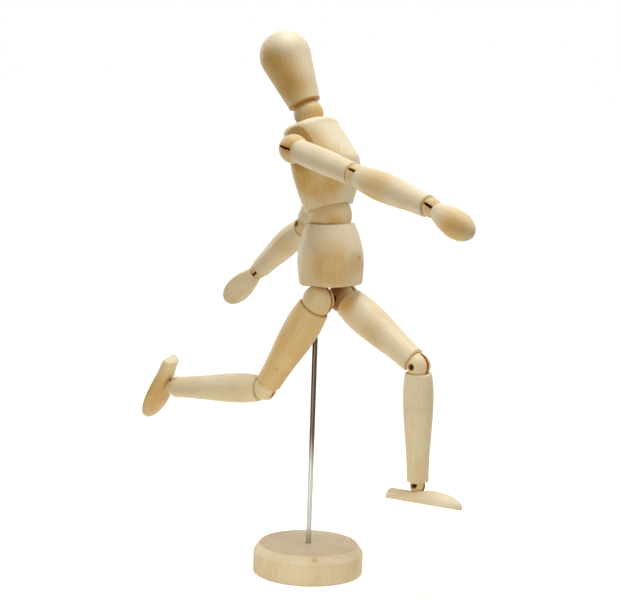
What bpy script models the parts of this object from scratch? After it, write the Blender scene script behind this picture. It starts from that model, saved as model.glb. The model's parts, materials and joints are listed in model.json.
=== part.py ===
"""Jointed wooden lay figure on a rod stand, posed as a runner.

Metres, +Z up. The origin is the middle of the base's underside. The figure faces -Y, and its
left side is +X. Each wooden ball sits in hollow seats, and each limb ball is sawn by a slot that
holds a flat steel tie on a cross-pin. A limb piece is modelled with the centre of its upper ball
at its own origin and its length along -Z.
"""
import math

import bmesh
import bpy
from mathutils import Matrix, Vector

MM = 0.001

# Fits and facets
CLEARANCE = 0.3 * MM
LIMB_SIDES = 14
TRUNK_SIDES = 22
BASE_SIDES = 40
STEEL_SIDES = 8
SEAT_STEPS = 4

# Stand
BASE_DIAMETER = 63.6 * MM
BASE_HEIGHT = 17.2 * MM
BASE_CHAMFER_WIDTH = 3.5 * MM
BASE_CHAMFER_HEIGHT = 4.7 * MM
BASE_FOOT_BEVEL = 0.8 * MM
ROD_DIAMETER = 3.0 * MM
ROD_DEPTH_IN_BASE = 12.0 * MM
ROD_DEPTH_IN_PELVIS = 10.0 * MM

# Where the stand holds the hips
HIP_HEIGHT = 161.2 * MM
HIP_AHEAD_OF_ROD = 10.5 * MM
HIP_SPACING = 22.5 * MM

# Trunk heights, along the trunk's own axis
HIP_TO_PELVIS = 8.1 * MM
PELVIS_HEIGHT = 34.9 * MM
WAIST_SHOWING = 9.0 * MM
CHEST_HEIGHT = 49.5 * MM
SHOULDER_BELOW_CHEST_TOP = 16.0 * MM
SHOULDER_SPACING = 52.0 * MM
CHEST_TO_NECK = 5.0 * MM
NECK_TO_HEAD = 6.0 * MM
HEAD_LENGTH = 45.0 * MM
HEAD_CROWN_DIAMETER = 29.2 * MM
HEAD_RIM_DIAMETER = 18.6 * MM

# Trunk widths and depths
PELVIS_TOP_DIAMETER = 27.6 * MM
PELVIS_DIAMETER = 37.6 * MM
PELVIS_FOOT_DIAMETER = 35.4 * MM
PELVIS_FOOT_ROUND = 1.6 * MM
PELVIS_SWELL_HEIGHT = 14.5 * MM
PELVIS_TAPER_POWER = 1.7
PELVIS_FLAT_HEIGHT = 20.0 * MM
PELVIS_FLAT_DEPTH = 1.8 * MM
PELVIS_SIDES = 24
CHEST_BOTTOM_WIDTH = 27.0 * MM
CHEST_WIDTH = 41.6 * MM
CHEST_TOP_WIDTH = 34.0 * MM
CHEST_FRONT = 22.3 * MM
CHEST_BACK = 13.2 * MM
CHEST_END_FRONT = 13.3 * MM
CHEST_END_BACK = 13.0 * MM
CHEST_TOP_FRONT = 9.0 * MM
CHEST_TOP_ROUND = 4.0 * MM
CHEST_BREAST_HEIGHT = 24.8 * MM
SHOULDER_SCOOP_RADIUS = 30.0 * MM

# Ball diameters
WAIST_DIAMETER = 24.6 * MM
NECK_DIAMETER = 17.0 * MM
SHOULDER_DIAMETER = 16.4 * MM
ELBOW_DIAMETER = 12.4 * MM
WRIST_DIAMETER = 10.8 * MM
HIP_DIAMETER = 18.0 * MM
KNEE_DIAMETER = 13.6 * MM
ANKLE_DIAMETER = 8.8 * MM

# Limb lengths between ball centres
UPPER_ARM_LENGTH = 51.5 * MM
FOREARM_LENGTH = 58.0 * MM
THIGH_LENGTH = 63.5 * MM
SHIN_LENGTH = 70.0 * MM

# Limb diameters: near the upper seat, at the swell, and near the lower seat
UPPER_ARM_DIAMETERS = (13.2 * MM, 14.0 * MM, 12.6 * MM)
FOREARM_DIAMETERS = (13.0 * MM, 15.9 * MM, 12.2 * MM)
THIGH_DIAMETERS = (18.4 * MM, 20.4 * MM, 14.8 * MM)
SHIN_DIAMETERS = (15.2 * MM, 17.2 * MM, 12.4 * MM)
UPPER_ARM_SWELL = 0.45
FOREARM_SWELL = 0.33
THIGH_SWELL = 0.22
SHIN_SWELL = 0.2
SEAT_HALF_ANGLE = math.radians(57)
LIP_HEIGHT = 0.9 * MM

# Hand, from the wrist ball's centre
HAND_REACH = 30.5 * MM
HAND_NECK_DIAMETER = 8.7 * MM
HAND_DIAMETER = 15.6 * MM
HAND_FULLEST_REACH = 18.5 * MM
HAND_PALM_DEPTH = 2.5 * MM

# Foot, from the ankle ball's centre
FOOT_TOE_REACH = 29.6 * MM
FOOT_HEEL_REACH = 16.8 * MM
FOOT_HEEL_WIDTH = 12.0 * MM
FOOT_TOE_WIDTH = 21.0 * MM
FOOT_TOP_BELOW_ANKLE = 3.2 * MM
FOOT_THICKNESS = 6.4 * MM
FOOT_BALL_THICKNESS = 8.4 * MM
FOOT_TOE_THICKNESS = 1.4 * MM
FOOT_BALL_REACH = 10.5 * MM
FOOT_HEEL_ROUND = 2.0 * MM
FOOT_HEEL_END_WIDTH = 9.4 * MM
FOOT_SOLE_EDGE = 0.7 * MM
FOOT_TOP_POINTS = 10
FOOT_TOP_SQUARENESS = 2.4

# Steel in the joints
PIN_DIAMETER = 1.2 * MM
PIN_RECESS = 0.8 * MM
PIN_SINK_DIAMETER = 3.6 * MM
PIN_SINK_DEPTH = 1.2 * MM
TIE_THICKNESS = 0.6 * MM
TIE_WIDTH = 1.4 * MM
TIE_EYE_RADIUS = 1.7 * MM
TIE_IN_BALL = 1.2 * MM
TIE_IN_HAND = 9.0 * MM
TIE_IN_FOOT = 4.0 * MM
PEG_DIAMETER = 1.6 * MM
PEG_IN_TRUNK = 7.0 * MM
SHOULDER_SLOT_TILT = 45
SPRING_WIRE = 0.8 * MM
SPRING_DIAMETER = 4.8 * MM
SPRING_IN_WAIST = 4.8 * MM
SPRING_IN_NECK = 3.6 * MM
SPRING_TURNS = 8
SPRING_POINTS = 8

# Rest pose in degrees: trunk
PELVIS_BACK = 3
CHEST_BACK_LEAN = 15
CHEST_TURN = 11
NECK_TURN = 0
HEAD_BACK = 11

# Rest pose in degrees: right and left limbs
HIP_TURN = {"right": 9, "left": 0}
THIGH_FORWARD = {"right": -34.5, "left": 57}
KNEE_TURN = {"right": -7, "left": -5}
KNEE_BEND = {"right": 51.5, "left": 61}
ANKLE_TURN = {"right": 17, "left": 7}
ANKLE_BEND = {"right": 38, "left": -2}
ANKLE_TILT = {"right": 0, "left": 19}
ARM_FORWARD = {"right": 58.5, "left": -45}
ARM_RAISE = {"right": 17, "left": 9}
ELBOW_TURN = {"right": -62, "left": -33}
ELBOW_BEND = {"right": 0, "left": -30}
WRIST_TURN = {"right": -10, "left": -45}
WRIST_BEND = {"right": -6, "left": 27}
WRIST_TILT = {"right": 8, "left": 0}

SIDES = {"right": -1, "left": 1}
PALM_SIDE = {"right": 1, "left": -1}

# Finishes
PALE_WOOD = (0.78, 0.60, 0.36, 1.0)
WARM_WOOD = (0.72, 0.48, 0.21, 1.0)
STEEL = (0.62, 0.62, 0.60, 1.0)


def clear_scene():
    for item in list(bpy.data.objects):
        bpy.data.objects.remove(item, do_unlink=True)


def finished(piece, colour, roughness, metallic):
    """Give a piece its own material and smooth round faces."""
    material = bpy.data.materials.new(piece.name + "_finish")
    material.use_nodes = True
    shader = material.node_tree.nodes["Principled BSDF"]
    shader.inputs["Base Color"].default_value = colour
    shader.inputs["Roughness"].default_value = roughness
    shader.inputs["Metallic"].default_value = metallic
    piece.data.materials.clear()
    piece.data.materials.append(material)
    if piece.type == "MESH":
        piece.data.shade_smooth()
        piece.data.set_sharp_from_angle(angle=math.radians(40))
    return piece


def wooden(piece, colour=PALE_WOOD):
    return finished(piece, colour, 0.45, 0.0)


def steel(piece):
    return finished(piece, STEEL, 0.3, 1.0)


def solid(name, shape):
    """Make an object of a bmesh."""
    bmesh.ops.recalc_face_normals(shape, faces=shape.faces)
    mesh = bpy.data.meshes.new(name)
    shape.to_mesh(mesh)
    shape.free()
    piece = bpy.data.objects.new(name, mesh)
    bpy.context.collection.objects.link(piece)
    return piece


def bridge(shape, first, second):
    """Join two rings of points with faces; a ring of one point is a pole."""
    count = max(len(first), len(second))
    for index in range(count):
        following = (index + 1) % count
        corners = [first[index % len(first)], first[following % len(first)]]
        corners += [second[following % len(second)], second[index % len(second)]]
        shape.faces.new(list(dict.fromkeys(corners)))


def turned(profile, sides, ring=False):
    """Turn (radius, height) points about Z; a ring's profile closes on itself."""
    shape = bmesh.new()
    rounds = []
    for radius, height in profile:
        if radius == 0:
            rounds.append([shape.verts.new((0, 0, height))])
            continue
        angles = [2 * math.pi * index / sides for index in range(sides)]
        rounds.append([shape.verts.new((radius * math.cos(a), radius * math.sin(a), height)) for a in angles])
    for first, second in zip(rounds, rounds[1:]):
        bridge(shape, first, second)
    if ring:
        bridge(shape, rounds[-1], rounds[0])
    return shape


def lofted(sections):
    """Skin a row of closed sections, each a list of points, and cap both ends."""
    shape = bmesh.new()
    rounds = [[shape.verts.new(point) for point in section] for section in sections]
    for first, second in zip(rounds, rounds[1:]):
        bridge(shape, first, second)
    shape.faces.new(rounds[0])
    shape.faces.new(rounds[-1])
    return shape


def ball(radius, sides=LIMB_SIDES):
    rows = sides // 2
    angles = [math.pi * row / rows for row in range(rows + 1)]
    profile = [(radius * math.sin(a), radius * math.cos(a)) for a in angles]
    profile[0] = (0, radius)
    profile[-1] = (0, -radius)
    return turned(profile, sides)


def rod(radius, low, high, sides=STEEL_SIDES):
    return turned([(0, low), (radius, low), (radius, high), (0, high)], sides)


def block(low, high):
    """A box between two corners."""
    shape = bmesh.new()
    bmesh.ops.create_cube(shape, size=1.0)
    size = Vector(high) - Vector(low)
    middle = (Vector(high) + Vector(low)) / 2
    matrix = Matrix.Translation(middle) @ Matrix.Diagonal((*size, 1))
    bmesh.ops.transform(shape, matrix=matrix, verts=shape.verts)
    return shape


def moved(shape, place=(0, 0, 0), turn=None):
    """Turn a bmesh about the origin, then move it."""
    matrix = Matrix.Translation(place)
    if turn is not None:
        matrix = matrix @ turn
    bmesh.ops.transform(shape, matrix=matrix, verts=shape.verts)
    return shape


def turn_y(degrees):
    return Matrix.Rotation(math.radians(degrees), 4, "Y")


def turn_z(degrees):
    return Matrix.Rotation(math.radians(degrees), 4, "Z")


def combined(piece, shapes, operation="DIFFERENCE"):
    """Cut shapes out of a piece, or join them to it."""
    tools = [solid("tool", shape) for shape in shapes]
    for tool in tools:
        modifier = piece.modifiers.new("cut", "BOOLEAN")
        modifier.operation = operation
        modifier.solver = "EXACT"
        modifier.object = tool
    bpy.context.view_layer.update()
    evaluated = piece.evaluated_get(bpy.context.evaluated_depsgraph_get())
    result = bpy.data.meshes.new_from_object(evaluated)
    piece.modifiers.clear()
    piece.data = result
    for tool in tools:
        bpy.data.objects.remove(tool, do_unlink=True)
    return piece


def joint(name, parent, place=(0, 0, 0), turn=(0, 0, 0)):
    """An empty on a joint's axis, turned to its rest angle in degrees."""
    empty = bpy.data.objects.new(name, None)
    bpy.context.collection.objects.link(empty)
    empty.parent = parent
    empty.location = place
    empty.rotation_euler = [math.radians(angle) for angle in turn]
    return empty


def carried(piece, parent, place=(0, 0, 0)):
    piece.parent = parent
    piece.location = place
    return piece


def rounded_section(height, half_width, front, back, sides=TRUNK_SIDES, squareness=2.4):
    """A level section of a trunk block: half as wide each way, deeper in front than behind."""
    points = []
    for index in range(sides):
        angle = 2 * math.pi * index / sides
        across, along = math.cos(angle), math.sin(angle)
        power = 2 / squareness
        x = half_width * math.copysign(abs(across) ** power, across)
        depth = back if along > 0 else front
        y = depth * math.copysign(abs(along) ** power, along)
        points.append((x, y, height))
    return points


def eased(start, end, share):
    """Go from start to end with a level beginning and end."""
    return start + (end - start) * (1 - math.cos(math.pi * share)) / 2


# Stand

def make_base():
    half = BASE_DIAMETER / 2
    profile = [
        (0, 0),
        (half - BASE_FOOT_BEVEL, 0),
        (half, BASE_FOOT_BEVEL),
        (half, BASE_HEIGHT - BASE_CHAMFER_HEIGHT),
        (half - BASE_CHAMFER_WIDTH, BASE_HEIGHT),
        (0, BASE_HEIGHT),
    ]
    piece = solid("base", turned(profile, BASE_SIDES))
    socket = rod(ROD_DIAMETER / 2 + CLEARANCE, BASE_HEIGHT - ROD_DEPTH_IN_BASE, BASE_HEIGHT + ROD_DIAMETER)
    return wooden(combined(piece, [socket]))


def rod_top():
    return HIP_HEIGHT + HIP_TO_PELVIS + ROD_DEPTH_IN_PELVIS


def make_stand_rod():
    low = BASE_HEIGHT - ROD_DEPTH_IN_BASE + CLEARANCE
    return steel(solid("stand_rod", rod(ROD_DIAMETER / 2, low, rod_top())))


# Trunk

def waist_height():
    """Waist ball's centre above the hip line."""
    return HIP_TO_PELVIS + PELVIS_HEIGHT + WAIST_SHOWING / 2


def pelvis_radius(rise):
    """Radius of the turned barrel at a height above its foot."""
    full = PELVIS_DIAMETER / 2
    if rise < PELVIS_SWELL_HEIGHT:
        share = 1 - rise / PELVIS_SWELL_HEIGHT
        return full - (full - PELVIS_FOOT_DIAMETER / 2) * share ** 2
    share = (rise - PELVIS_SWELL_HEIGHT) / (PELVIS_HEIGHT - PELVIS_SWELL_HEIGHT)
    return full + (PELVIS_TOP_DIAMETER / 2 - full) * share ** PELVIS_TAPER_POWER


def pelvis_section(rise, inset=0):
    """A level section of the barrel, planed flat on four sides; the flats run out upwards."""
    foot_flat = PELVIS_FOOT_DIAMETER / 2 - PELVIS_FLAT_DEPTH
    flat = foot_flat + (pelvis_radius(PELVIS_FLAT_HEIGHT) - foot_flat) * rise / PELVIS_FLAT_HEIGHT
    points = []
    for index in range(PELVIS_SIDES):
        angle = 2 * math.pi * index / PELVIS_SIDES
        across, along = math.cos(angle), math.sin(angle)
        radius = min(pelvis_radius(rise), flat / max(abs(across), abs(along))) - inset
        points.append((radius * across, radius * along, HIP_TO_PELVIS + rise))
    return points


def make_pelvis(frame):
    sections = [pelvis_section(0, PELVIS_FOOT_ROUND)]
    steps = 4
    for step in range(steps):
        share = step / steps
        sections.append(pelvis_section(PELVIS_FOOT_ROUND + (PELVIS_FLAT_HEIGHT - PELVIS_FOOT_ROUND) * share))
    for step in range(steps + 1):
        share = step / steps
        sections.append(pelvis_section(PELVIS_FLAT_HEIGHT + (PELVIS_HEIGHT - PELVIS_FLAT_HEIGHT) * share))
    piece = solid("pelvis", lofted(sections))
    cuts = [moved(ball(WAIST_DIAMETER / 2 + CLEARANCE, TRUNK_SIDES), (0, 0, waist_height()))]
    for side in SIDES.values():
        centre = (side * HIP_SPACING / 2, 0, 0)
        cuts.append(moved(ball(HIP_DIAMETER / 2 + CLEARANCE, TRUNK_SIDES), centre))
        peg_top = HIP_DIAMETER / 2 + PEG_IN_TRUNK + CLEARANCE
        cuts.append(moved(rod(PEG_DIAMETER / 2 + CLEARANCE, 0, peg_top), centre))
    hole = rod(ROD_DIAMETER / 2 + CLEARANCE, HIP_HEIGHT - HIP_TO_PELVIS, rod_top() + CLEARANCE)
    cuts.append(moved(hole, turn=frame.matrix_world.inverted()))
    return wooden(carried(combined(piece, cuts), frame))


def make_waist():
    piece = solid("waist", ball(WAIST_DIAMETER / 2, TRUNK_SIDES))
    hole = rod(SPRING_WIRE / 2 + CLEARANCE, spring_foot() - CLEARANCE, WAIST_DIAMETER)
    return wooden(combined(piece, [hole]))


def chest_base():
    """Chest's lower face above the waist ball's centre."""
    return WAIST_SHOWING / 2


def shoulder_height():
    return chest_base() + CHEST_HEIGHT - SHOULDER_BELOW_CHEST_TOP


def neck_height():
    return chest_base() + CHEST_HEIGHT + CHEST_TO_NECK


def make_chest(frame):
    low = chest_base()
    shoulder = CHEST_HEIGHT - CHEST_TOP_ROUND
    sections = []
    steps = 4
    for step in range(steps + 1):
        share = step / steps
        bulge = math.sin(math.pi / 2 * share)
        half_width = CHEST_BOTTOM_WIDTH / 2 + (CHEST_WIDTH - CHEST_BOTTOM_WIDTH) / 2 * bulge
        front = CHEST_END_FRONT + (CHEST_FRONT - CHEST_END_FRONT) * bulge
        back = CHEST_END_BACK + (CHEST_BACK - CHEST_END_BACK) * bulge
        sections.append(rounded_section(low + CHEST_BREAST_HEIGHT * share, half_width, front, back))
    for step in range(1, steps + 1):
        share = step / steps
        half_width = eased(CHEST_WIDTH, CHEST_TOP_WIDTH + 2 * CHEST_TOP_ROUND, share) / 2
        front = CHEST_FRONT + (CHEST_TOP_FRONT + CHEST_TOP_ROUND - CHEST_FRONT) * share
        height = low + CHEST_BREAST_HEIGHT + (shoulder - CHEST_BREAST_HEIGHT) * share
        sections.append(rounded_section(height, half_width, front, CHEST_BACK))
    top = low + CHEST_HEIGHT
    sections.append(rounded_section(top, CHEST_TOP_WIDTH / 2, CHEST_TOP_FRONT, CHEST_BACK - CHEST_TOP_ROUND))
    piece = solid("chest", lofted(sections))
    cuts = [ball(WAIST_DIAMETER / 2 + CLEARANCE, TRUNK_SIDES)]
    cuts.append(moved(ball(NECK_DIAMETER / 2 + CLEARANCE, TRUNK_SIDES), (0, 0, neck_height())))
    cuts.append(rod(SPRING_DIAMETER / 2 + CLEARANCE, 0, neck_height()))
    reach = SHOULDER_SPACING / 2
    scoop = SHOULDER_SCOOP_RADIUS
    scoop_centre = reach - SHOULDER_DIAMETER / 2 - 2 * CLEARANCE + scoop
    for side in SIDES.values():
        cuts.append(moved(ball(scoop, BASE_SIDES), (side * scoop_centre, 0, shoulder_height())))
        inner = reach - SHOULDER_DIAMETER / 2 - PEG_IN_TRUNK - CLEARANCE
        hole = moved(rod(PEG_DIAMETER / 2 + CLEARANCE, inner, reach), turn=turn_y(90 * side))
        cuts.append(moved(hole, (0, 0, shoulder_height())))
    return wooden(carried(combined(piece, cuts), frame))


def spring_foot():
    """Lower end of the spring's wire, inside the waist ball."""
    return WAIST_DIAMETER / 2 - SPRING_IN_WAIST


def make_spine_spring(frame):
    """Tension spring in the chest, its straight ends let into the waist and neck balls."""
    head_end = neck_height() - NECK_DIAMETER / 2 + SPRING_IN_NECK
    coil_low = WAIST_DIAMETER / 2 + SPRING_DIAMETER / 2
    coil_high = neck_height() - NECK_DIAMETER / 2 - SPRING_DIAMETER / 2
    radius = SPRING_DIAMETER / 2 - SPRING_WIRE / 2 - CLEARANCE
    points = [(0, 0, spring_foot()), (0, 0, coil_low - SPRING_WIRE)]
    count = SPRING_TURNS * SPRING_POINTS
    for index in range(count + 1):
        angle = 2 * math.pi * index / SPRING_POINTS
        height = coil_low + (coil_high - coil_low) * index / count
        points.append((radius * math.cos(angle), radius * math.sin(angle), height))
    points += [(0, 0, coil_high + SPRING_WIRE), (0, 0, head_end)]
    curve = bpy.data.curves.new("spine_spring", "CURVE")
    curve.dimensions = "3D"
    curve.bevel_depth = SPRING_WIRE / 2
    curve.bevel_resolution = 0
    curve.use_fill_caps = True
    spline = curve.splines.new("POLY")
    spline.points.add(len(points) - 1)
    for place, point in zip(spline.points, points):
        place.co = (*point, 1)
    piece = bpy.data.objects.new("spine_spring", curve)
    bpy.context.collection.objects.link(piece)
    return steel(carried(piece, frame))


def make_neck_ball():
    piece = solid("neck_ball", ball(NECK_DIAMETER / 2, TRUNK_SIDES))
    depth = NECK_DIAMETER / 2 - SPRING_IN_NECK - CLEARANCE
    hole = rod(SPRING_WIRE / 2 + CLEARANCE, -NECK_DIAMETER, -depth)
    return wooden(combined(piece, [hole]))


def make_head(frame):
    crown = HEAD_CROWN_DIAMETER / 2
    rim = HEAD_RIM_DIAMETER / 2
    centre = NECK_TO_HEAD + HEAD_LENGTH - crown
    taper = math.asin((crown - rim) / (centre - NECK_TO_HEAD))
    profile = [(0, NECK_TO_HEAD), (rim - LIP_HEIGHT / 2, NECK_TO_HEAD), (rim, NECK_TO_HEAD + LIP_HEIGHT / 2)]
    rows = 8
    for row in range(rows):
        angle = -taper + (math.pi / 2 + taper) * row / rows
        profile.append((crown * math.cos(angle), centre + crown * math.sin(angle)))
    profile.append((0, centre + crown))
    piece = solid("head", turned(profile, TRUNK_SIDES))
    seat = ball(NECK_DIAMETER / 2 + CLEARANCE, TRUNK_SIDES)
    return wooden(carried(combined(piece, [seat]), frame))


# Limbs

def make_limb_ball(name, diameter, frame, drilled_from, swivel=None, slot=None):
    """A ball with a swivel hole towards +Z, a saw slot open towards -Z, and a sunk blind hole for the pin.

    The slot lies in the YZ plane and the pin along X, let in from -X or +X as `drilled_from` is -1 or 1.
    `swivel` and `slot` turn these cuts.
    """
    radius = diameter / 2
    back = TIE_EYE_RADIUS + CLEARANCE
    half_slot = TIE_THICKNESS / 2 + CLEARANCE
    piece = solid(name, ball(radius))
    saw = moved(block((-half_slot, -diameter, -diameter), (half_slot, diameter, back)), turn=slot)
    hole_end = radius - PIN_RECESS + CLEARANCE
    drill = moved(rod(PIN_DIAMETER / 2 + CLEARANCE, -hole_end, diameter), turn=turn_y(90 * drilled_from))
    drill = moved(drill, turn=slot)
    sink = rod(PIN_SINK_DIAMETER / 2, radius - PIN_SINK_DEPTH, diameter, LIMB_SIDES)
    sink = moved(moved(sink, turn=turn_y(90 * drilled_from)), turn=slot)
    hole = moved(rod(PEG_DIAMETER / 2 + CLEARANCE, back - CLEARANCE, diameter), turn=swivel)
    return wooden(carried(combined(piece, [saw, drill, sink, hole]), frame))


def make_pin(name, diameter, frame, slot=None):
    half = diameter / 2 - PIN_RECESS
    shape = moved(rod(PIN_DIAMETER / 2, -half, half), turn=turn_y(90))
    return steel(carried(solid(name, moved(shape, turn=slot)), frame))


def make_tie(name, length, frame, turn=None):
    """A flat steel strip with an eye for the pin; `length` runs from the pin to its far end."""
    half = TIE_THICKNESS / 2
    hole = PIN_DIAMETER / 2 + CLEARANCE
    profile = [(hole, -half), (TIE_EYE_RADIUS, -half), (TIE_EYE_RADIUS, half), (hole, half)]
    eye = moved(turned(profile, STEEL_SIDES + 2, ring=True), turn=turn_y(90))
    piece = solid(name, moved(eye, turn=turn))
    start = (hole + TIE_EYE_RADIUS) / 2
    strip = block((-half, -TIE_WIDTH / 2, -length), (half, TIE_WIDTH / 2, -start))
    return steel(carried(combined(piece, [moved(strip, turn=turn)], "UNION"), frame))


def seat_points(radius, centre, facing):
    """Hollow seat from the bore to the rim: `facing` is 1 where the ball is above."""
    bore = PEG_DIAMETER / 2 + CLEARANCE
    first = math.asin(bore / radius)
    points = []
    for step in range(SEAT_STEPS + 1):
        angle = first + (SEAT_HALF_ANGLE - first) * step / SEAT_STEPS
        points.append((radius * math.sin(angle), centre - facing * radius * math.cos(angle)))
    return points


def make_limb(name, length, diameters, swell_at, upper_ball, lower_ball, frame, colour=PALE_WOOD):
    """A turned limb with a hollow seat at each end and a bore for its tie."""
    upper = seat_points(upper_ball / 2 + CLEARANCE, 0, 1)
    lower = seat_points(lower_ball / 2 + CLEARANCE, -length, -1)
    top = upper[-1][1] - LIP_HEIGHT
    bottom = lower[-1][1] + LIP_HEIGHT
    swell = top + (bottom - top) * swell_at
    first, widest, last = (size / 2 for size in diameters)
    outside = []
    steps = 3
    for step in range(steps):
        share = step / steps
        radius = first + (widest - first) * math.sin(math.pi / 2 * share)
        outside.append((radius, top + (swell - top) * share))
    for step in range(steps + 1):
        share = step / steps
        outside.append((eased(widest, last, share), swell + (bottom - swell) * share))
    profile = upper + outside + lower[::-1]
    return wooden(carried(solid(name, turned(profile, LIMB_SIDES, ring=True)), frame), colour)


def make_hand(name, frame, palm_side):
    """A turned egg, hollowed for the wrist and cut flat for the palm at -Y or +Y as `palm_side` is -1 or 1."""
    seat = WRIST_DIAMETER / 2 + CLEARANCE
    neck = HAND_NECK_DIAMETER / 2
    start = math.sqrt(seat ** 2 - neck ** 2) - CLEARANCE
    steps = 5
    profile = [(0, -start)]
    for step in range(steps):
        share = step / steps
        radius = neck + (HAND_DIAMETER / 2 - neck) * math.sin(math.pi / 2 * share)
        profile.append((radius, -start - (HAND_FULLEST_REACH - start) * share))
    for step in range(steps):
        angle = math.pi / 2 * step / steps
        reach = HAND_FULLEST_REACH + (HAND_REACH - HAND_FULLEST_REACH) * math.sin(angle)
        profile.append((HAND_DIAMETER / 2 * math.cos(angle), -reach))
    profile.append((0, -HAND_REACH))
    piece = solid(name, turned(profile, LIMB_SIDES))
    palm = block((-HAND_DIAMETER, HAND_PALM_DEPTH, -2 * HAND_REACH), (HAND_DIAMETER, HAND_DIAMETER, 0))
    palm = moved(palm, turn=turn_z(90 - 90 * palm_side))
    bore = rod(PEG_DIAMETER / 2 + CLEARANCE, -TIE_IN_HAND - WRIST_DIAMETER / 2 - CLEARANCE, 0)
    return wooden(carried(combined(piece, [palm, ball(seat, TRUNK_SIDES), bore]), frame))


def foot_section(y, width, height):
    """A section across the foot: flat below, with a domed top."""
    sole = -FOOT_TOP_BELOW_ANKLE - FOOT_THICKNESS
    edge = min(FOOT_SOLE_EDGE, height / 3)
    power = 2 / FOOT_TOP_SQUARENESS
    points = [(-width / 2 + edge, y, sole), (width / 2 - edge, y, sole)]
    for index in range(FOOT_TOP_POINTS):
        angle = math.pi * index / (FOOT_TOP_POINTS - 1)
        across, rise = math.cos(angle), max(0, math.sin(angle))
        x = width / 2 * math.copysign(abs(across) ** power, across)
        points.append((x, y, sole + edge + (height - edge) * rise ** power))
    return points


def make_foot(name, frame):
    """A wooden foot with a flat sole, cut square at the heel and rounded off to a thin toe at -Y."""
    heel = FOOT_HEEL_REACH - FOOT_HEEL_ROUND
    steps = 5
    sections = [foot_section(FOOT_HEEL_REACH, FOOT_HEEL_END_WIDTH, FOOT_THICKNESS - FOOT_HEEL_ROUND / 2)]
    for step in range(steps):
        share = step / (steps - 1)
        y = heel - (heel + FOOT_BALL_REACH) * share
        width = eased(FOOT_HEEL_WIDTH, FOOT_TOE_WIDTH, share)
        height = FOOT_THICKNESS + (FOOT_BALL_THICKNESS - FOOT_THICKNESS) * max(0, -y) / FOOT_BALL_REACH
        sections.append(foot_section(y, width, height))
    for step in range(1, steps):
        angle = math.pi / 2 * step / steps
        y = -FOOT_BALL_REACH - (FOOT_TOE_REACH - FOOT_BALL_REACH) * math.sin(angle)
        height = FOOT_TOE_THICKNESS + (FOOT_BALL_THICKNESS - FOOT_TOE_THICKNESS) * math.cos(angle)
        sections.append(foot_section(y, FOOT_TOE_WIDTH * math.cos(angle), height))
    piece = solid(name, lofted(sections))
    seat = ball(ANKLE_DIAMETER / 2 + CLEARANCE, TRUNK_SIDES)
    bore = rod(PEG_DIAMETER / 2 + CLEARANCE, -ANKLE_DIAMETER / 2 - TIE_IN_FOOT + CLEARANCE, 0)
    return wooden(carried(combined(piece, [seat, bore]), frame))


def make_peg(name, diameter, frame, turn=None):
    """A steel peg on which a ball turns in the trunk; it points along +Z."""
    low = TIE_EYE_RADIUS + 2 * CLEARANCE
    high = diameter / 2 + PEG_IN_TRUNK
    return steel(carried(solid(name, moved(rod(PEG_DIAMETER / 2, low, high), turn=turn)), frame))


def tie_length(length, lower_ball):
    """A tie runs through its limb and a little way into the next ball."""
    return length - lower_ball / 2 + TIE_IN_BALL


def make_leg(label, pelvis_frame):
    side = SIDES[label]
    hip = (side * HIP_SPACING / 2, 0, 0)
    hip_turn = joint(label + "_hip_turn", pelvis_frame, hip, (0, 0, HIP_TURN[label]))
    thigh = joint(label + "_thigh_swing", hip_turn, turn=(-THIGH_FORWARD[label], 0, 0))
    knee_turn = joint(label + "_knee_turn", thigh, (0, 0, -THIGH_LENGTH), (0, 0, KNEE_TURN[label]))
    shin = joint(label + "_knee_bend", knee_turn, turn=(KNEE_BEND[label], 0, 0))
    ankle_turn = joint(label + "_ankle_turn", shin, (0, 0, -SHIN_LENGTH), (0, 0, ANKLE_TURN[label]))
    foot = joint(label + "_ankle_bend", ankle_turn, turn=(ANKLE_BEND[label], ANKLE_TILT[label], 0))
    peg_frame = joint(label + "_hip_peg_seat", pelvis_frame, hip)
    make_peg(label + "_hip_peg", HIP_DIAMETER, peg_frame)
    thigh_colour = WARM_WOOD if label == "right" else PALE_WOOD
    make_limb_ball(label + "_hip_ball", HIP_DIAMETER, hip_turn, -side)
    make_pin(label + "_hip_pin", HIP_DIAMETER, hip_turn)
    make_limb(label + "_thigh", THIGH_LENGTH, THIGH_DIAMETERS, THIGH_SWELL, HIP_DIAMETER, KNEE_DIAMETER,
              thigh, thigh_colour)
    make_tie(label + "_thigh_tie", tie_length(THIGH_LENGTH, KNEE_DIAMETER), thigh)
    make_limb_ball(label + "_knee_ball", KNEE_DIAMETER, knee_turn, -side)
    make_pin(label + "_knee_pin", KNEE_DIAMETER, knee_turn)
    make_limb(label + "_shin", SHIN_LENGTH, SHIN_DIAMETERS, SHIN_SWELL, KNEE_DIAMETER, ANKLE_DIAMETER, shin)
    make_tie(label + "_shin_tie", tie_length(SHIN_LENGTH, ANKLE_DIAMETER), shin)
    tilt = turn_y(ANKLE_TILT[label])
    make_limb_ball(label + "_ankle_ball", ANKLE_DIAMETER, ankle_turn, -side, slot=tilt)
    make_pin(label + "_ankle_pin", ANKLE_DIAMETER, ankle_turn, tilt)
    make_foot(label + "_foot", foot)
    make_tie(label + "_foot_tie", ANKLE_DIAMETER / 2 + TIE_IN_FOOT - CLEARANCE, foot)


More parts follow.
